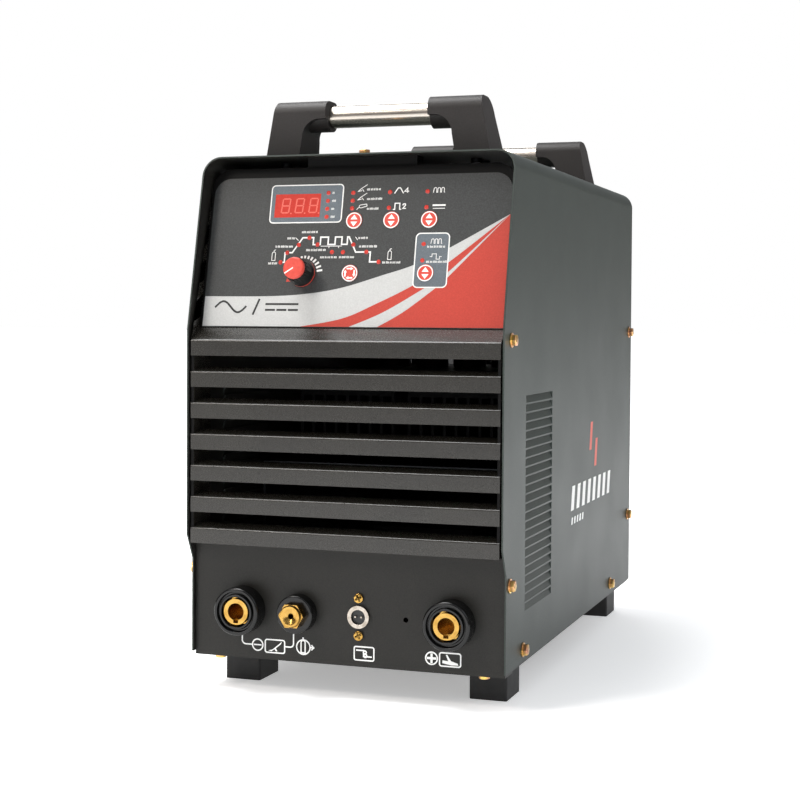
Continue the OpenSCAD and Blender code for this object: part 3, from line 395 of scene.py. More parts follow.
def turned_brass(name, node):
    """Turned free-cutting brass: yellow, bright, with the tool's fine rings about the node's axis,
    drawn much coarser than they are so that they show."""
    middle = (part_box(node)[0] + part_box(node)[1]) / 2
    material, tree, shader, place = start_material(name, metallic=1.0)
    centred = add(tree, "ShaderNodeMapping", {"Location": -middle}, {"Vector": place})
    rings = add(tree, "ShaderNodeTexWave", {"wave_type": "RINGS", "rings_direction": "Y",
        "Scale": 1 / (3 * MM), "Distortion": 0.4, "Detail": 2.0}, {"Vector": centred.outputs["Vector"]})
    cloud = add(tree, "ShaderNodeTexNoise", {"Scale": 1 / (5 * MM), "Detail": 4.0}, {"Vector": place})
    tone = add(tree, "ShaderNodeValToRGB", {"stops": [(0.3, "#a17b3a"), (0.7, "#c29c55")]},
        {"Fac": cloud.outputs["Fac"]})
    tree.links.new(tone.outputs["Color"], shader.inputs["Base Color"])
    gloss = add(tree, "ShaderNodeMapRange", {"To Min": 0.16, "To Max": 0.3},
        {"Value": cloud.outputs["Fac"]})
    tree.links.new(gloss.outputs["Result"], shader.inputs["Roughness"])
    bump = add(tree, "ShaderNodeBump", {"Strength": 0.25, "Distance": 0.02 * MM},
        {"Height": rings.outputs["Fac"]})
    tree.links.new(bump.outputs["Normal"], shader.inputs["Normal"])
    return material


collar_nylon = glossy_nylon("collar_nylon", "#080808", "#101010", 0.2, 0.35)
for pole in ("negative", "positive"):
    rounded_piece(pole + "_socket_collar", pole + "_collar", collar_nylon, "socket_black", 0.5, 3)
    rounded_piece(pole + "_socket_insert", pole + "_insert",
        turned_brass(pole + "_brass", pole + "_insert"), "brass", 0.25)


# Torch connector
# The torch lead screws onto this hexagonal brass body. Gas leaves through its dished seat, and a
# nylon collar keeps it off the plate.

torch_brass = turned_brass("torch_brass", "torch_connector")
rounded_piece("torch_body", "torch_connector", torch_brass, "brass", 0.2)
rounded_piece("torch_socket_collar", "torch_collar", collar_nylon, "socket_black", 0.5, 3)


# Signal socket
# A small round two-pin socket for the torch switch: a nickel-plated flange ring round a moulded
# insert, held by two brass pan-head screws with cross recesses.

def nickel_plate():
    """Bright nickel on a turned ring: pale, warm and mirror-like, with slight tarnish."""
    material, tree, shader, place = start_material("nickel_plate", metallic=1.0)
    cloud = add(tree, "ShaderNodeTexNoise", {"Scale": 1 / (3 * MM), "Detail": 5.0}, {"Vector": place})
    tone = add(tree, "ShaderNodeValToRGB", {"stops": [(0.3, "#8f867b"), (0.7, "#b8b0a6")]},
        {"Fac": cloud.outputs["Fac"]})
    tree.links.new(tone.outputs["Color"], shader.inputs["Base Color"])
    gloss = add(tree, "ShaderNodeMapRange", {"To Min": 0.16, "To Max": 0.32},
        {"Value": cloud.outputs["Fac"]})
    tree.links.new(gloss.outputs["Result"], shader.inputs["Roughness"])
    return material


def yellow_zinc():
    """Zinc plate with a yellow chromate: gold that drifts to pink and green over a few millimetres."""
    material, tree, shader, place = start_material("yellow_zinc", metallic=1.0)
    drift = add(tree, "ShaderNodeTexNoise", {"Scale": 1 / (6 * MM), "Detail": 2.0}, {"Vector": place})
    tone = add(tree, "ShaderNodeValToRGB", {"stops": [(0.35, "#e3c06a"), (0.65, "#d79a7c")]},
        {"Fac": drift.outputs["Fac"]})
    tree.links.new(tone.outputs["Color"], shader.inputs["Base Color"])
    fine = add(tree, "ShaderNodeTexNoise", {"Scale": 1 / (1 * MM), "Detail": 4.0}, {"Vector": place})
    gloss = add(tree, "ShaderNodeMapRange", {"To Min": 0.2, "To Max": 0.42},
        {"Value": fine.outputs["Fac"]})
    tree.links.new(gloss.outputs["Result"], shader.inputs["Roughness"])
    return material


nickel = nickel_plate()
zinc = yellow_zinc()


def cross_head(work, place, radius, height, sides=28):
    """A driven screw head that stands on the place's XY plane: a chamfered rim, drawn in to a
    square of cells. The middle rows are drawn down as a cross, but the face over them stays closed.
    With six sides it is a hexagon head. Its parts are shares of its radius and height."""
    head = bmesh.new()
    half = radius * 0.53
    bmesh.ops.create_grid(head, x_segments=5, y_segments=5, size=half,
        matrix=Matrix.Translation((0, 0, height)))
    plus = [f for f in head.faces if min(abs(c) for c in f.calc_center_median().xy) < half / 5]
    border = [e for e in head.edges if e.is_boundary]
    rim = bmesh.ops.create_circle(head, segments=sides, radius=radius * 0.88,
        matrix=Matrix.Translation((0, 0, height * 0.97)))["verts"]
    edges = [e for e in head.edges if all(v in rim for v in e.verts)]
    bmesh.ops.bridge_loops(head, edges=border + edges)
    for z in (height * 0.82, 0):
        grown = bmesh.ops.extrude_edge_only(head, edges=edges)["geom"]
        ring = [g for g in grown if isinstance(g, bmesh.types.BMVert)]
        edges = [e for e in grown if isinstance(e, bmesh.types.BMEdge)
            and all(v in ring for v in e.verts)]
        for v in ring:
            v.co.xy = v.co.xy.normalized() * radius
            v.co.z = z
    bmesh.ops.edgeloop_fill(head, edges=edges)
    sunk = bmesh.ops.extrude_face_region(head, geom=plus)["geom"]
    bmesh.ops.translate(head, vec=(0, 0, -height * 0.75),
        verts=[g for g in sunk if isinstance(g, bmesh.types.BMVert)])
    bmesh.ops.recalc_face_normals(head, faces=head.faces)
    bmesh.ops.transform(head, matrix=place, verts=head.verts)
    held = bpy.data.meshes.new("head")
    head.to_mesh(held)
    head.free()
    work.from_mesh(held)
    bpy.data.meshes.remove(held)


def solids(node):
    """The lowest and highest corners of each separate solid in a CAD node."""
    work = copy_of(node)
    left, boxes = set(work.verts), []
    while left:
        found, edge_of = set(), {left.pop()}
        while edge_of:
            found |= edge_of
            edge_of = {e.other_vert(v) for v in edge_of for e in v.link_edges} - found
        left -= found
        boxes.append([Vector([pick(v.co[i] for v in found) for i in range(3)]) for pick in (min, max)])
    work.free()
    return sorted(boxes, key=lambda pair: tuple(round(c, 5) for c in pair[0]))


def screws(name, node, facing, height, thread, material, sides=28):
    """Screws in place of a CAD node's: each has a crossed head of that height at its outer end,
    which faces the way that facing() gives for its middle, and a shank with thread ridges."""
    pitch = 0.8 * MM
    root = 0.86
    work = bmesh.new()
    for low, high in solids(node):
        middle = (low + high) / 2
        out = facing(middle)
        span = high - low
        turned = out.to_track_quat("Z", "Y").to_matrix().to_4x4()
        reach = abs(span.dot(out)) / 2
        across = sorted(abs(c) for c, o in zip(span, out) if abs(o) < 0.5)[-1] / 2
        seat = Matrix.Translation(middle + out * (reach - height * MM)) @ turned
        cross_head(work, seat @ Matrix.Rotation(0.5, 4, "Z"), across, height * MM, sides)
        length = 2 * reach - height * MM
        profile = [(0, 0, 0)]
        for i in range(int(length / pitch)):
            profile += [(thread * MM / 2, 0, -i * pitch),
                (thread * MM / 2 * root, 0, -(i + 0.5) * pitch)]
        profile.append((0, 0, -length))
        shank = [work.verts.new(p) for p in profile]
        line = [work.edges.new(pair) for pair in zip(shank, shank[1:])]
        bmesh.ops.spin(work, geom=shank + line, cent=(0, 0, 0), axis=(0, 0, 1),
            angle=2 * math.pi, steps=16, use_merge=True)
        body, todo = set(), set(shank)
        while todo:
            body |= todo
            todo = {e.other_vert(v) for v in todo for e in v.link_edges} - body
        bmesh.ops.transform(work, matrix=seat, verts=list(body))
    bmesh.ops.remove_doubles(work, verts=work.verts, dist=0.004 * MM)
    bmesh.ops.recalc_face_normals(work, faces=work.faces)
    stand_for(mesh_object(name, work, [material], 30), "case", "yellow_zinc", node)


rounded_piece("signal_socket_ring", "signal_ring", nickel, "bright_steel", 0.3, 3)
black_moulding = glossy_nylon("black_moulding", "#0f0f0f", "#1a1a19", 0.35)
work = ease(copy_of("signal_insert"), 0.2)
for face in work.faces:
    face.material_index = int(face.calc_center_median().y < plate_face - 0.9 * MM)
stand_for(mesh_object("signal_pins_block", work, [black_moulding, nickel]),
    "case", "black_plastic", "signal_insert")
screws("signal_socket_screws", "signal_screws", lambda p: Vector((0, -1, 0)), height=1.7,
    thread=2.6, material=torch_brass)


# Front moulding
# One ABS moulding makes the leaning panel, the louvres and the nose below them. Its faces have a
# spark-eroded texture, and the louvres' front edges are rounded, so that they catch the light. The
# panel's margin round the film is a black mask. Its faces under the cover and those set back behind
# the film, and the faces set back in the louvre gaps, take the same black as painted shade.

def textured_abs(name, dark, light, roughness, specular_ior_level=0.5):
    """ABS from a spark-eroded mould: charcoal with a slight sheen and a fine leathery grain."""
    material, tree, shader, place = start_material(name, specular_ior_level=specular_ior_level)
    spark = add(tree, "ShaderNodeTexNoise", {"Scale": 1 / (0.8 * MM), "Detail": 3.0,
        "Roughness": 0.65}, {"Vector": place})
    cloud = add(tree, "ShaderNodeTexNoise", {"Scale": 1 / (45 * MM), "Detail": 2.0}, {"Vector": place})
    both = add(tree, "ShaderNodeMix", {"data_type": "FLOAT", "Factor": 0.35},
        {"A": spark.outputs["Fac"], "B": cloud.outputs["Fac"]})
    tone = add(tree, "ShaderNodeValToRGB", {"stops": [(0.35, dark), (0.65, light)]},
        {"Fac": both.outputs["Result"]})
    tree.links.new(tone.outputs["Color"], shader.inputs["Base Color"])
    gloss = add(tree, "ShaderNodeMapRange", {"To Min": roughness - 0.06, "To Max": roughness + 0.06},
        {"Value": both.outputs["Result"]})
    tree.links.new(gloss.outputs["Result"], shader.inputs["Roughness"])
    bump = add(tree, "ShaderNodeBump", {"Strength": 0.3, "Distance": 0.05 * MM},
        {"Height": spark.outputs["Fac"]})
    tree.links.new(bump.outputs["Normal"], shader.inputs["Normal"])
    return material


def louvre_brow(edge):
    """True for the long front edge along the top of a louvre."""
    low, high = sorted(v.co.x for v in edge.verts)
    return high - low > 200 * MM and max(v.co.y for v in edge.verts) < case_low.y + 2 * MM and any(
        face.normal.z > 0.2 for face in edge.link_faces)


front_abs = textured_abs("textured_abs", "#1e1c19", "#292722", 0.27)
shade_and_mask_black = textured_abs("shade_and_mask_black", "#060606", "#0c0b0b", 0.5, 0.12)
work = ease(ease(copy_of("front_moulding"), 2.0, 5, 40, louvre_brow), 0.4, 2, 50)
low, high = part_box("control_overlay")
lean = math.radians(12.3)
film_w, film_h = 244.6, 119.8
film = Matrix(((1, 0, 0, 0), (0, -math.sin(lean), -math.cos(lean), low.y + film_h * MM * math.sin(lean)),
    (0, -math.cos(lean), math.sin(lean), high.z), (0, 0, 0, 1)))
inverse = film.inverted()
for face in work.faces:
    middle = face.calc_center_median()
    upright = face.normal.y < -0.9
    # Above the louvres, the panel's front faces take the black mask. Faces above the film's top, under
    # the cover, and faces set back behind the film take the same black as painted shade.
    if middle.z > low.z + 2 * MM:
        mask_and_shade = upright or middle.z > high.z - 4 * MM or (inverse @ middle).z < -3.5 * MM
    else:
        # In the louvres, front faces set back from the louvres' front are coloured black as painted
        # shade inside the gaps.
        mask_and_shade = upright and middle.y > case_low.y + 1.5 * MM
    face.material_index = int(mask_and_shade)
stand_for(mesh_object("front_moulding_textured", work, [front_abs, shade_and_mask_black]),
    "case", "front_abs", "front_moulding")


# Control overlay
# A polyester film, printed from behind and glued to the leaning panel: charcoal field, a white
# band that sweeps up to the right, red below it, frames, symbols and the weld's current curve.

def velvet_film(name, dark, light):
    """Polyester film with a velvet texture: a soft sheen and a visible fine speckle."""
    material, tree, shader, place = start_material(name, ior=1.6, specular_ior_level=0.35)
    speck = add(tree, "ShaderNodeTexNoise", {"Scale": 1 / (1.1 * MM), "Detail": 4.0,
        "Roughness": 0.75}, {"Vector": place})
    tone = add(tree, "ShaderNodeValToRGB", {"stops": [(0.42, dark), (0.62, light)]},
        {"Fac": speck.outputs["Fac"]})
    tree.links.new(tone.outputs["Color"], shader.inputs["Base Color"])
    gloss = add(tree, "ShaderNodeMapRange", {"To Min": 0.42, "To Max": 0.55},
        {"Value": speck.outputs["Fac"]})
    tree.links.new(gloss.outputs["Result"], shader.inputs["Roughness"])
    bump = add(tree, "ShaderNodeBump", {"Strength": 0.3, "Distance": 0.03 * MM},
        {"Height": speck.outputs["Fac"]})
    tree.links.new(bump.outputs["Normal"], shader.inputs["Normal"])
    return material


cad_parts["control_overlay"].data.materials[0] = velvet_film("charcoal_film", "#292a2a", "#373939")
film_white = velvet_film("white_film", "#b5b5b3", "#bfbfbd")
film_red = velvet_film("red_film", "#ad3122", "#b93a2a")
film_grey = velvet_film("blue_grey_film", "#545c62", "#60686f")


def sweep(*points, steps=8):
    """A smooth line through the points (Catmull-Rom)."""
    ends = [points[0], *points, points[-1]]
    line = []
    for a, b, c, d in zip(ends, ends[1:], ends[2:], ends[3:]):
        for i in range(steps):
            t = i / steps
            line.append(tuple(0.5 * (2 * q + (r - p) * t + (2 * p - 5 * q + 4 * r - s) * t * t
                + (3 * q - p - 3 * r + s) * t ** 3) for p, q, r, s in zip(a, b, c, d)))
    return line + [points[-1]]


EDGE = film_w / 2 - 0.4
FOOT = film_h - 0.4
tip = (EDGE, 32.6)
band_top = sweep((-EDGE, 95.6), (-71, 95.6), (-38, 93.8), (-8, 88.9), (25, 79), (49, 71.2),
    (76.5, 58), tip)
band_foot = sweep((-39.3, FOOT), (-5, 112.8), (22, 101), (49.2, 87.2), (75.6, 69.9), tip)
stripe_top = sweep((0.6, FOOT), (27.4, 107.9), (57.6, 89.9), (76, 77.4), tip)
stripe_foot = sweep((23.4, FOOT), (43.1, 107.9), (66.7, 89.8), (76.2, 81.2), tip)
work = bmesh.new()
patch(work, film, 0.04, band_top + band_foot[-2::-1] + [(-EDGE, FOOT)])
patch(work, film, 0.07, stripe_top + stripe_foot[-2::-1])
printed("overlay_white_band", work, film_white)
work = bmesh.new()
patch(work, film, 0.04, band_foot + [(EDGE, FOOT)])
printed("overlay_red_field", work, film_red)

window = (-69.3, 13.7, -31.1, 32.5)
display_frame = (-72.8, 6.6, -12.9, 36.8)
balance_frame = (49.5, 46.6, 75.8, 88.6)
work = bmesh.new()
patch(work, film, 0.10, rounded(*display_frame, 3)[:-1],
    [[(window[0], window[1]), (window[2], window[1]), (window[2], window[3]), (window[0], window[3])]])
patch(work, film, 0.10, rounded(*balance_frame, 3.4)[:-1])
printed("overlay_grey_frames", work, film_grey)

# The curve runs from gas before the weld to gas after it, through its lamps. Captions are rows of
# small ticks.
pulses = [(x, d) for a, b in ((-28.4, -22.0), (-16.2, -10.75)) for x, d in
    ((a, 54.6), (a, 48.7), (b, 48.7), (b, 54.6))]
curve = [(-60.3, 68.5), (-57.2, 68.5), (-57.2, 60.9), (-51.2, 60.9), (-43.3, 49), (-34.3, 49),
    (-34.3, 54.6), *pulses, (-6.2, 54.6), (-6.2, 48.7), (-4.9, 48.7), (1.3, 60.8), (13.3, 60.8),
    (13.3, 68.6), (20.6, 68.6)]
work = bmesh.new()
top_ink = 0.13
strokes(work, film, 1.1, top_ink, curve)
strokes(work, film, 0.9, top_ink, rounded(*display_frame, 3), rounded(*balance_frame, 3.4))


def bottle(x, d):
    """A gas bottle's outline with its valve."""
    return [[(x + 1.4, d + 3.4), (x - 1.4, d + 3.4), *arc(x, d - 2, 1.4, 180, 360, 6),
        (x + 1.4, d + 3.4)], [(x, d - 3.4), (x, d - 4.6), (x + 1.2, d - 5)]]


def torch(x, d):
    """A torch that leans over its work: handle, head and electrode."""
    return [[(x, d), (x + 2.4, d - 2.2), (x + 7, d - 5.2)], [(x, d), (x + 2.8, d - 0.6)],
        [(x + 3.6, d - 1.4), (x + 4.6, d)]]


def humps(x, d, width):
    """Three rounded pulses over a base line."""
    step = width / 3
    line = [(x, d)]
    for i in range(3):
        line += arc(x + step * (i + 0.5), d - 2.6, step * 0.36, 180, 360, 6)
        line += [(x + step * (i + 0.86), d), (x + step * min(i + 1.14, 3), d)]
    return [line]


def ticks(x0, x1, d, rng=Random(7)):
    """A caption: short upright ticks in groups, with no letters in it."""
    x, marks = x0, []
    while x < x1:
        for _ in range(rng.randint(2, 4)):
            tall = rng.choice((0.45, 0.6, 0.75))
            marks.append([(x, d - tall), (x, d + 0.5)])
            x += 0.85
        x += 0.5
    return marks


strokes(work, film, 0.5, top_ink, *bottle(-66.6, 63.6), *bottle(29.1, 63.4), *torch(-0.6, 12.6),
    *torch(-0.4, 19.4), *humps(60.4, 14.5, 9), *humps(61.4, 54.6, 8.6),
    [(61.6, 64.8), (63, 64.8), (63, 62.7), (66.4, 62.7), (66.4, 66.8), (69, 66.8), (69, 64.8),
        (70.4, 64.8)],
    [(-0.6, 27), (0.8, 25.4), *arc(2.4, 24.6, 1.2, 120, 270, 4), (7.2, 22.8), (7.6, 24.4),
        (2.8, 25.8), (0.8, 25.4)],
    [(61.2, 27.2), (70.2, 27.2)], [(-27.6, 55.9), (-10.6, 55.9)], [(-21, 57.2), (-21, 55.9)],
    [(-13, 57.2), (-13, 55.9)], [(-47, 51), (-49.4, 49)], [(2, 51), (0.4, 49)],
    *[mark for x0, x1, d in ((6.9, 17.4, 11.2), (7.4, 17.2, 18.8), (8, 15, 26.6), (-44.2, -31.6, 44.6),
        (-56, -50.4, 49.4), (-65.4, -50.2, 56), (-70.4, -63, 69.4), (-39.4, -24.4, 59),
        (-27.3, -14.4, 64.8), (-11.7, -1, 64.8), (3, 10, 49.7), (4.1, 19, 56.5), (23.9, 38, 69.2),
        (58.9, 72.6, 57.2), (59, 72.8, 68.9), (-21.4, -19.6, 13.4), (-21.4, -18, 19.8),
        (-21.4, -18.6, 26.2), (-21.4, -19.6, 32.6)) for mark in ticks(x0, x1, d)])
strokes(work, film, 0.8, top_ink, [(29.4, 14.4), (32, 10.4), (33.7, 10.4), (36.2, 14.4)],
    [(29.2, 27.4), (30.3, 27.4), (30.3, 22.6), (34.2, 22.6), (34.2, 27.4), (35.2, 27.4)],
    [(39.6, 14), (39.6, 10.6), (37.4, 13.2), (40.4, 13.2)],
    [(36.8, 24), (37.2, 23.2), (38.6, 23.2), (38.9, 24.2), (36.8, 26.8), (39, 26.8)])
strokes(work, film, 1.3, top_ink, [(61.2, 24.7), (70.2, 24.7)])
knob_x, knob_d = -41.3, 77.4
for i in range(8):
    angle = math.radians(-97 + 12.6 * i)
    strokes(work, film, 1.5, top_ink, [(knob_x + r * math.cos(angle), knob_d + r * math.sin(angle))
        for r in (12.75, 12.9 + 0.42 * i)])
printed("overlay_white_symbols", work, screen_ink("white_print", "#dcdbd7", "#e8e7e4"))
work = bmesh.new()
patch(work, film, top_ink, [(knob_x - 12.4, knob_d + 3.8), (knob_x - 12.9, knob_d + 6.8),
    (knob_x - 9.4, knob_d + 6.4)])
printed("overlay_knob_pointer", work, film_red)

# On the band: the plain signs of alternating and direct current, in black.
work = bmesh.new()
strokes(work, film, 1.6, 0.1, sweep(*[(-112 + 3.2 * i, 104 - 4.4 * math.sin(math.pi * i / 4))
    for i in range(9)], steps=4), [(-69, 101.8), (-43, 101.8)],
    *[[(-69 + 9.6 * i, 106.4), (-62.2 + 9.6 * i, 106.4)] for i in range(3)],
    [(-79.6, 109.6), (-75.4, 98.4)])
printed("overlay_current_signs", work, screen_ink("black_print", "#191919", "#262625"))


# Display
# Three seven-segment digits behind a red window. They are off, so that they show only as a
# slightly lighter red.

def red_acrylic():
    """Cast red acrylic, 2 mm: deep colour, polished face, its red varying a little at random."""
    material, tree, shader, place = start_material("red_acrylic", ior=1.49, roughness=0.4,
        specular_ior_level=0.25)
    cloud = add(tree, "ShaderNodeTexNoise", {"Scale": 1 / (2 * MM), "Detail": 4.0}, {"Vector": place})
    tone = add(tree, "ShaderNodeValToRGB", {"stops": [(0.3, "#b3281b"), (0.7, "#bd3022")]},
        {"Fac": cloud.outputs["Fac"]})
    tree.links.new(tone.outputs["Color"], shader.inputs["Base Color"])
    return material


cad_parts["display_window"].data.materials[0] = red_acrylic()
work = bmesh.new()
slant = 0.09
for middle in (-60, -48.4, -36.8):
    for y, span in ((-5.6, True), (0, True), (5.6, True), (-2.8, False), (2.8, False)):
        for side in ((0,) if span else (-1, 1)):
            x = middle - slant * y + side * 3.1
            ends = [(x - 2.2, y), (x + 2.2, y)] if span else [(x + 0.22, y - 2.1), (x - 0.22, y + 2.1)]
            strokes(work, film, 1.1, INK, [(a, b + (window[1] + window[3]) / 2) for a, b in ends])
    strokes(work, film, 1.1, INK, [(middle + 4.6, 29.2), (middle + 4.7, 29.2)])
printed("display_digits", work, screen_ink("unlit_segments", "#cc5446", "#d66355"),
    slot="red_lens")


# Lamps
# Twenty-three round 3 mm diodes look through the film. Their lenses are tinted epoxy, and none is
# lit.

def tinted_epoxy():
    """Red-tinted epoxy: glossy, its red varying a little at random."""
    material, tree, shader, place = start_material("tinted_epoxy", ior=1.55, roughness=0.14,
        coat_weight=0.3)
    depth = add(tree, "ShaderNodeTexNoise", {"Scale": 1 / (1.6 * MM), "Detail": 2.0},
        {"Vector": place})
    tone = add(tree, "ShaderNodeValToRGB", {"stops": [(0.35, "#a92a20"), (0.65, "#cf4034")]},
        {"Fac": depth.outputs["Fac"]})
    tree.links.new(tone.outputs["Color"], shader.inputs["Base Color"])
    return material


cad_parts["indicator_leds"].data.materials[0] = tinted_epoxy()


# Keys
# Five round push keys of red ABS, each with a printed white rim and arrows: a pair that points up
# and down, or four that turn. They press in 0.5 mm.

def satin_abs():
    """Red ABS with a satin face, faintly clouded by its flow into the mould."""
    material, tree, shader, place = start_material("satin_red_abs", ior=1.5, roughness=0.35)
    flow = add(tree, "ShaderNodeTexNoise", {"Scale": 1 / (2.5 * MM), "Detail": 4.0},
        {"Vector": place})
    tone = add(tree, "ShaderNodeValToRGB", {"stops": [(0.3, "#c2382a"), (0.7, "#ce4536")]},
        {"Fac": flow.outputs["Fac"]})
    tree.links.new(tone.outputs["Color"], shader.inputs["Base Color"])
    bump = add(tree, "ShaderNodeBump", {"Strength": 0.2, "Distance": 0.03 * MM},
        {"Height": flow.outputs["Fac"]})
    tree.links.new(bump.outputs["Normal"], shader.inputs["Normal"])
    return material


red_abs = satin_abs()
KEY_TOP = 0.7
key_ink = screen_ink("key_print", "#eceae6", "#f6f5f2")
bent_arrow = [(-2.6, -4.2), (0.6, -4.2), (0.6, -4.9), (2.9, -3.6), (0.6, -2.3), (0.6, -3.1),
    (-2.6, -3.1)]
for key in [f"key_{i}" for i in range(1, 6)]:
    rounded_piece(key + "_cap", key, red_abs, "key_red", 0.25, 3, key)
    low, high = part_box(key)
    spot = inverse @ ((low + high) / 2)
    x, d = spot.x / MM, spot.y / MM
    work = bmesh.new()
    patch(work, film, KEY_TOP + INK, arc(x, d, 6.35)[:-1], [arc(x, d, 5.55)[:-1]])
    if key == "key_4":
        for quarter in range(4):
            spin = Matrix.Rotation(math.radians(90 * quarter), 2)
            patch(work, film, KEY_TOP + INK, [tuple(spin @ Vector(p) + Vector((x, d)))
                for p in bent_arrow])
    else:
        for way in (-1, 1):
            patch(work, film, KEY_TOP + INK, [(x - 2.8, d + way * 0.9), (x + 2.8, d + way * 0.9),
                (x, d + way * 4.6)])
    printed(key + "_print", work, key_ink, key, "key_red")


# Knob
# The setting knob: a ribbed black skirt with a thin red foot, and a red cap with a white line. All
# three turn with the shaft of the encoder behind the panel.

CAP_TOP = 18.7
red_foot = 1.9 * MM
work = ease(copy_of("knob_body"), 0.15, 2, 50)
for face in work.faces:
    face.material_index = int((inverse @ face.calc_center_median()).z < red_foot)
knob_nylon = glossy_nylon("knob_nylon", "#131313", "#1d1d1c", 0.32)
stand_for(mesh_object("knob_skirt", work, [knob_nylon, red_abs]), "knob", "knob_black", "knob_body")
rounded_piece("knob_red_cap", "knob_cap", red_abs, "key_red", 0.5, 3, "knob")
work = bmesh.new()
strokes(work, film, 0.9, CAP_TOP + 0.02, [(knob_x - 0.6, knob_d + 0.4), (knob_x - 6.4, knob_d + 4.2)])
bmesh.ops.bisect_plane(work, geom=work.verts[:] + work.edges[:] + work.faces[:],
    plane_co=film @ Vector((0, 0, (CAP_TOP - 0.3) * MM)), plane_no=film.to_3x3() @ Vector((0, 0, 1)),
    clear_inner=True)
bmesh.ops.holes_fill(work, edges=work.edges)
printed("knob_pointer_line", work, key_ink, "knob", "key_red")


# Boards and small parts behind the panel
# The control board with its switches and display module, and the encoder that the knob turns. They
# are seen only through the louvres and vents.

def solder_resist():
    """Green solder resist on glass-epoxy: glossy, with the faint lines of copper beneath it."""
    material, tree, shader, place = start_material("solder_resist", roughness=0.3)
    tracks = add(tree, "ShaderNodeTexBrick", {"Scale": 1 / (12 * MM), "Color1": linear("#153f28"),
        "Color2": linear("#1a4a2f"), "Mortar": linear("#245c3c"), "Mortar Size": 0.06},
        {"Vector": place})
    tree.links.new(tracks.outputs["Color"], shader.inputs["Base Color"])
    bump = add(tree, "ShaderNodeBump", {"Strength": 0.3, "Distance": 0.05 * MM},
        {"Height": tracks.outputs["Fac"]})
    tree.links.new(bump.outputs["Normal"], shader.inputs["Normal"])
    return material


def drawn_metal(name, dark, light, roughness, stretch=(1, 1, 1)):
    """Drawn, rolled or brushed metal: fine lines along one axis, which blur its reflections."""
    material, tree, shader, place = start_material(name, metallic=1.0)
    along = add(tree, "ShaderNodeMapping", {"Scale": stretch}, {"Vector": place})
    lines = add(tree, "ShaderNodeTexNoise", {"Scale": 1 / (0.8 * MM), "Detail": 4.0,
        "Roughness": 0.6}, {"Vector": along.outputs["Vector"]})
    tone = add(tree, "ShaderNodeValToRGB", {"stops": [(0.3, dark), (0.7, light)]},
        {"Fac": lines.outputs["Fac"]})
    tree.links.new(tone.outputs["Color"], shader.inputs["Base Color"])
    gloss = add(tree, "ShaderNodeMapRange", {"To Min": roughness - 0.06, "To Max": roughness + 0.1},
        {"Value": lines.outputs["Fac"]})
    tree.links.new(gloss.outputs["Result"], shader.inputs["Roughness"])
    bump = add(tree, "ShaderNodeBump", {"Strength": 0.04, "Distance": 0.02 * MM},
        {"Height": lines.outputs["Fac"]})
    tree.links.new(bump.outputs["Normal"], shader.inputs["Normal"])
    return material


def finish_nodes(material, *nodes):
    """Gives CAD pieces whose shape is already right their material."""
    for node in nodes:
        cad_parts[node].data.materials[0] = material


green_board = solder_resist()
dull_steel = drawn_metal("turned_steel", "#8f9294", "#b4b7b8", 0.3, (1, 0.1, 1))
dark_moulding = glossy_nylon("matt_moulding", "#0e0e0e", "#191918", 0.5)
finish_nodes(green_board, "control_board", "power_board")
finish_nodes(dark_moulding, "display_module", "key_switches", "current_sensor", "power_modules")
finish_nodes(dull_steel, "encoder_body", "encoder_shaft")


# Power stage
# A bridge of galvanised sheet carries two heat sinks, coloured near-black as painted shade, their
# modules and the power board. The transformer and the inductor stand on the tray under it, wound
# with enamelled wire.

def shade_black_alloy():
    """Extruded aluminium, coloured near-black as painted shade for the inside seen through the louvres:
    matt, with fine lines along its length.
    """
    material, tree, shader, place = start_material("shade_black_alloy", specular_ior_level=0.1)
    along = add(tree, "ShaderNodeMapping", {"Scale": (1, 0.08, 1)}, {"Vector": place})
    lines = add(tree, "ShaderNodeTexNoise", {"Scale": 1 / (1 * MM), "Detail": 3.0},
        {"Vector": along.outputs["Vector"]})
    tone = add(tree, "ShaderNodeValToRGB", {"stops": [(0.3, "#060607"), (0.7, "#0c0c0d")]},
        {"Fac": lines.outputs["Fac"]})
    tree.links.new(tone.outputs["Color"], shader.inputs["Base Color"])
    gloss = add(tree, "ShaderNodeMapRange", {"To Min": 0.6, "To Max": 0.75},
        {"Value": lines.outputs["Fac"]})
    tree.links.new(gloss.outputs["Result"], shader.inputs["Roughness"])
    return material


def spangled_zinc():
    """Hot-dip galvanised sheet: crystals of zinc a few millimetres across, each its own grey."""
    material, tree, shader, place = start_material("spangled_zinc", metallic=0.85)
    spangle = add(tree, "ShaderNodeTexVoronoi", {"Scale": 1 / (7 * MM)}, {"Vector": place})
    tone = add(tree, "ShaderNodeValToRGB", {"stops": [(0.1, "#2a2c2e"), (0.9, "#3a3c3e")]},
        {"Fac": spangle.outputs["Color"]})
    tree.links.new(tone.outputs["Color"], shader.inputs["Base Color"])
    gloss = add(tree, "ShaderNodeMapRange", {"To Min": 0.35, "To Max": 0.6},
        {"Value": spangle.outputs["Color"]})
    tree.links.new(gloss.outputs["Result"], shader.inputs["Roughness"])
    return material


def wound_copper():
    """Enamelled copper wire, close wound: ridges one wire apart under a brown varnish."""
    material, tree, shader, place = start_material("wound_copper", metallic=0.8, roughness=0.35)
    turns = add(tree, "ShaderNodeTexWave", {"bands_direction": "Z", "Scale": 1 / (6.4 * MM),
        "Distortion": 0.3}, {"Vector": place})
    tone = add(tree, "ShaderNodeValToRGB", {"stops": [(0.1, "#3a1a0e"), (0.8, "#9a5230")]},
        {"Fac": turns.outputs["Fac"]})
    tree.links.new(tone.outputs["Color"], shader.inputs["Base Color"])
    bump = add(tree, "ShaderNodeBump", {"Strength": 0.8, "Distance": 0.4 * MM},
        {"Height": turns.outputs["Fac"]})
    tree.links.new(bump.outputs["Normal"], shader.inputs["Normal"])
    return material


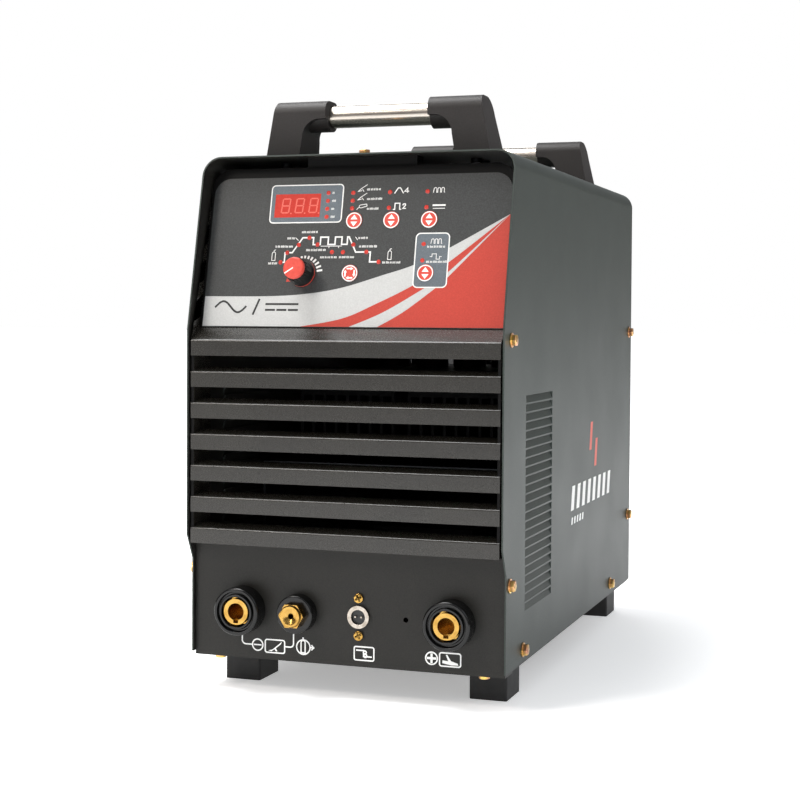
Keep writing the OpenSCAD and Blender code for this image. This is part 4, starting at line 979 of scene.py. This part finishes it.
def mottled(name, dark, light, roughness, size):
    """A dull pressed or moulded surface: sintered ferrite, shrunk sleeve or extruded hose."""
    material, tree, shader, place = start_material(name)
    patches = add(tree, "ShaderNodeTexNoise", {"Scale": 1 / (size * MM), "Detail": 5.0},
        {"Vector": place})
    tone = add(tree, "ShaderNodeValToRGB", {"stops": [(0.3, dark), (0.7, light)]},
        {"Fac": patches.outputs["Fac"]})
    tree.links.new(tone.outputs["Color"], shader.inputs["Base Color"])
    gloss = add(tree, "ShaderNodeMapRange", {"To Min": roughness - 0.08, "To Max": roughness + 0.08},
        {"Value": patches.outputs["Fac"]})
    tree.links.new(gloss.outputs["Result"], shader.inputs["Roughness"])
    return material


finish_nodes(shade_black_alloy(), "heat_sinks")
finish_nodes(spangled_zinc(), "inner_shelf")
finish_nodes(wound_copper(), "transformer_winding", "output_inductor")
finish_nodes(drawn_metal("rolled_copper", "#7c4428", "#a4623c", 0.3, (1, 0.1, 1)), "output_straps")
finish_nodes(mottled("sintered_ferrite", "#26272a", "#323438", 0.6, 3), "transformer_core")
finish_nodes(mottled("shrunk_sleeve", "#141a26", "#1c2432", 0.35, 4), "capacitors")
finish_nodes(mottled("extruded_hose", "#14171a", "#1f2327", 0.45, 5), "gas_hose")
rear_brass = turned_brass("rear_brass", "gas_inlet")
finish_nodes(rear_brass, "solenoid_valve")


# Rear panel
# A flanged sheet in the cover's own grey-green powder coat, cut out for the fan, the supply
# breaker, the gland, the gas inlet and the earth stud.

cover_powder = powder_coat("grey_green_powder_coat", "#313734", "#3c433f", 0.45)
rounded_piece("rear_panel_coated", "rear_panel", cover_powder, "cover_coat", 0.4)


# Supply gland, gas inlet and earth stud
# The gland is moulded nylon with grip ribs on its nut. The gas inlet is a turned brass spigot with
# a pipe thread, and the earth stud a zinc-plated screw with its nuts.

def thread_rings(work, start, axis, radius, length, pitch):
    """A thread's ridges, one pitch apart, round a spigot."""
    turned = axis.to_track_quat("Z", "Y").to_matrix().to_4x4()
    sunk, skin, crest = radius - 0.3, radius + 0.02, radius + 0.45
    for i in range(int(length / pitch)):
        base = (i + 0.2) * pitch
        bead = [Vector((sunk, 0, base)), Vector((skin, 0, base)),
            Vector((crest, 0, base + pitch * 0.35)), Vector((skin, 0, base + pitch * 0.7)),
            Vector((sunk, 0, base + pitch * 0.7))]
        ring = bmesh.new()
        verts = [ring.verts.new(p * MM) for p in bead]
        line = [ring.edges.new(pair) for pair in zip(verts, verts[1:] + verts[:1])]
        bmesh.ops.spin(ring, geom=verts + line, cent=(0, 0, 0), axis=(0, 0, 1), angle=2 * math.pi,
            steps=48, use_merge=True)
        bmesh.ops.recalc_face_normals(ring, faces=ring.faces)
        bmesh.ops.transform(ring, matrix=Matrix.Translation(start) @ turned, verts=ring.verts)
        held = bpy.data.meshes.new("ring")
        ring.to_mesh(held)
        ring.free()
        work.from_mesh(held)
        bpy.data.meshes.remove(held)


def threaded(name, node, proud, radius, length, pitch, material, slot):
    """A rear fitting whose thread starts a little proud of the rear panel."""
    low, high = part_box(node)
    work = ease(copy_of(node), 0.25)
    start = Vector(((low.x + high.x) / 2, rear_face + proud * MM, (low.z + high.z) / 2))
    thread_rings(work, start, back, radius, length, pitch)
    stand_for(mesh_object(name, work, [material]), "case", slot, node)


rounded_piece("supply_gland", "cable_gland", dark_moulding, "black_plastic", 0.6, 3)
back = Vector((0, 1, 0))
rear_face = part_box("rear_panel")[1].y
threaded("gas_inlet_threaded", "gas_inlet", proud=7, radius=6.2, length=12, pitch=1.34,
    material=rear_brass, slot="brass")
threaded("earth_stud_threaded", "earth_stud", proud=5.4, radius=2.8, length=9.4, pitch=1.0,
    material=zinc, slot="yellow_zinc")


# Supply breaker and blank label
# A two-pole breaker in black thermoset, whose lever swings up to switch on, with plain on and off
# marks. The label's place holds a blank plate of anodised aluminium.

def back_of(node):
    """The place of a CAD node's rear face: origin in its middle, X to the right as one looks at
    it."""
    low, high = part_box(node)
    middle = (low + high) / 2
    return Matrix(((-1, 0, 0, middle.x), (0, 0, 1, high.y), (0, 1, 0, middle.z), (0, 0, 0, 1)))


rounded_piece("breaker_case", "breaker_body", dark_moulding, "black_plastic", 0.5, 3)
rounded_piece("breaker_switch_lever", "breaker_lever", black_moulding, "black_plastic", 0.6, 3,
    "lever")
work = bmesh.new()
strokes(work, back_of("breaker_body"), 1.2, INK, [(0, 18), (0, 24)], arc(0, -21, 3))
printed("breaker_marks", work, key_ink, slot="black_plastic")
label_metal = drawn_metal("brushed_label", "#a9abac", "#c6c8c9", 0.35, (0.08, 1, 1))
rounded_piece("blank_label_plate", "rating_plate", label_metal, "blank_label", 0.2)
work = bmesh.new()
strokes(work, back_of("rating_plate"), 0.5, INK, rounded(-45, -27, 45, 27, 2), [(-45, 15), (45, 15)],
    [(-45, 3), (45, 3)], [(-45, -9), (45, -9)], [(-12, 15), (-12, -27)])
printed("label_ruling", work, screen_ink("label_print", "#2a2a2a", "#3a3a3a"), slot="blank_label")


# Fan
# A 120 mm axial fan, moulded in black, behind a guard of bent and welded steel wire. Four crossed
# screws hold both to the rear panel.

finish_nodes(dark_moulding, "fan_frame")
rounded_piece("fan_blades", "fan_rotor", black_moulding, "black_plastic", 0.3, body="fan")
finish_nodes(drawn_metal("plated_wire", "#8d8f90", "#bfc1c2", 0.25), "fan_guard")
screws("fan_fixing_screws", "fan_screws", lambda p: back, height=2.3, thread=4, material=zinc)


# Cover
# One long sheet, folded over the top with round corners, so that it makes both sides and the top.
# Rows of flaps are pressed inwards in each side for air. Plain slanted bars are the decoration.

def bar(x, foot, width, tall, slant):
    """The outline of an upright bar that leans towards the rear."""
    return [(x, foot), (x + width, foot), (x + width + slant, foot + tall), (x + slant, foot + tall)]


# The flaps' inner edges reach up behind the slots, so that one doesn't see out between them.
work = copy_of("cover")
flap_depth, flap_rise, flap_closer = 2.4 * MM, 2.4 * MM, 0.7 * MM
vents_front, vents_rear = case_low.y + 40 * MM, case_low.y + 170 * MM
under_fold = case_high.z - 60 * MM
for v in work.verts:
    if (abs(v.co.x) < case_high.x - flap_depth and v.co.z < under_fold
            and vents_front < v.co.y < vents_rear):
        v.co.z += flap_rise
        v.co.x += math.copysign(flap_closer, v.co.x)
work = ease(work, 0.35, 2, 50)
# The cover's inner faces take the black powder as painted shade, so that the slot above the panel and
# the inside seen through the vents stay dark.
for face in work.faces:
    middle = face.calc_center_median()
    inside = -face.normal.x * math.copysign(1, middle.x) > 0.7 or face.normal.z < -0.5
    face.material_index = int(inside and abs(middle.x) < case_high.x - 1 * MM)
stand_for(mesh_object("cover_coated", work, [cover_powder, black_powder]), "case", "cover_coat",
    "cover")
side = Matrix(((0, 0, 1, case_high.x), (1, 0, 0, case_low.y), (0, 1, 0, 0), (0, 0, 0, 1)))
work = bmesh.new()
for i in range(8):
    patch(work, side, INK, bar(219 + 21.4 * i, 127, 11, 21, 5))
for i in range(5):
    patch(work, side, INK, bar(221 + 10.4 * i, 115, 5, 6, 1.6))
printed("side_stripe_white", work, white_ink, slot="cover_coat")
work = bmesh.new()
for start, foot in ((291, 174), (312, 158)):
    patch(work, side, INK, bar(start, foot, 9, 25, 5))
printed("side_stripe_red", work, screen_ink("salmon_ink", "#c8503f", "#d65f4d"), slot="cover_coat")


# Handles
# Two tubes of satin aluminium between brackets of textured glass-filled nylon, screwed to the
# cover from inside.

handle_nylon = textured_abs("handle_nylon", "#282524", "#343130", 0.5, 0.3)
# The tubes' base colour is tinted warm as a painted reflection of brown surroundings.
tube = drawn_metal("satin_aluminium_warm_reflection", "#b5ada4", "#c4bcb3", 0.22, (0.02, 1, 1))
for end in ("front", "rear"):
    rounded_piece(end + "_handle_ends", end + "_handle_brackets", handle_nylon, "handle_black", 1.0,
        3)
    finish_nodes(tube, end + "_grip_tube")
black_steel = drawn_metal("black_oxide_steel", "#1c1c1d", "#29292a", 0.4)
finish_nodes(black_steel, "handle_screws")


# Case bolts and washers
# M5 hexagon bolts with crossed recesses, on wide washers, in yellow-chromated zinc. They hold the
# cover to the tray, the front and the rear.

def bolt_facing(middle):
    """Bolts in the top look up; the others look out of their side."""
    if middle.z > case_high.z - 10 * MM:
        return Vector((0, 0, 1))
    return Vector((math.copysign(1, middle.x), 0, 0))


screws("cover_bolts", "case_bolts", bolt_facing, height=3.5, thread=5, material=zinc, sides=6)
rounded_piece("cover_washers", "case_washers", zinc, "yellow_zinc", 0.2)
screws("tray_screws", "base_screws", lambda p: Vector((0, 0, -1)), height=2.4, thread=4,
    material=zinc)
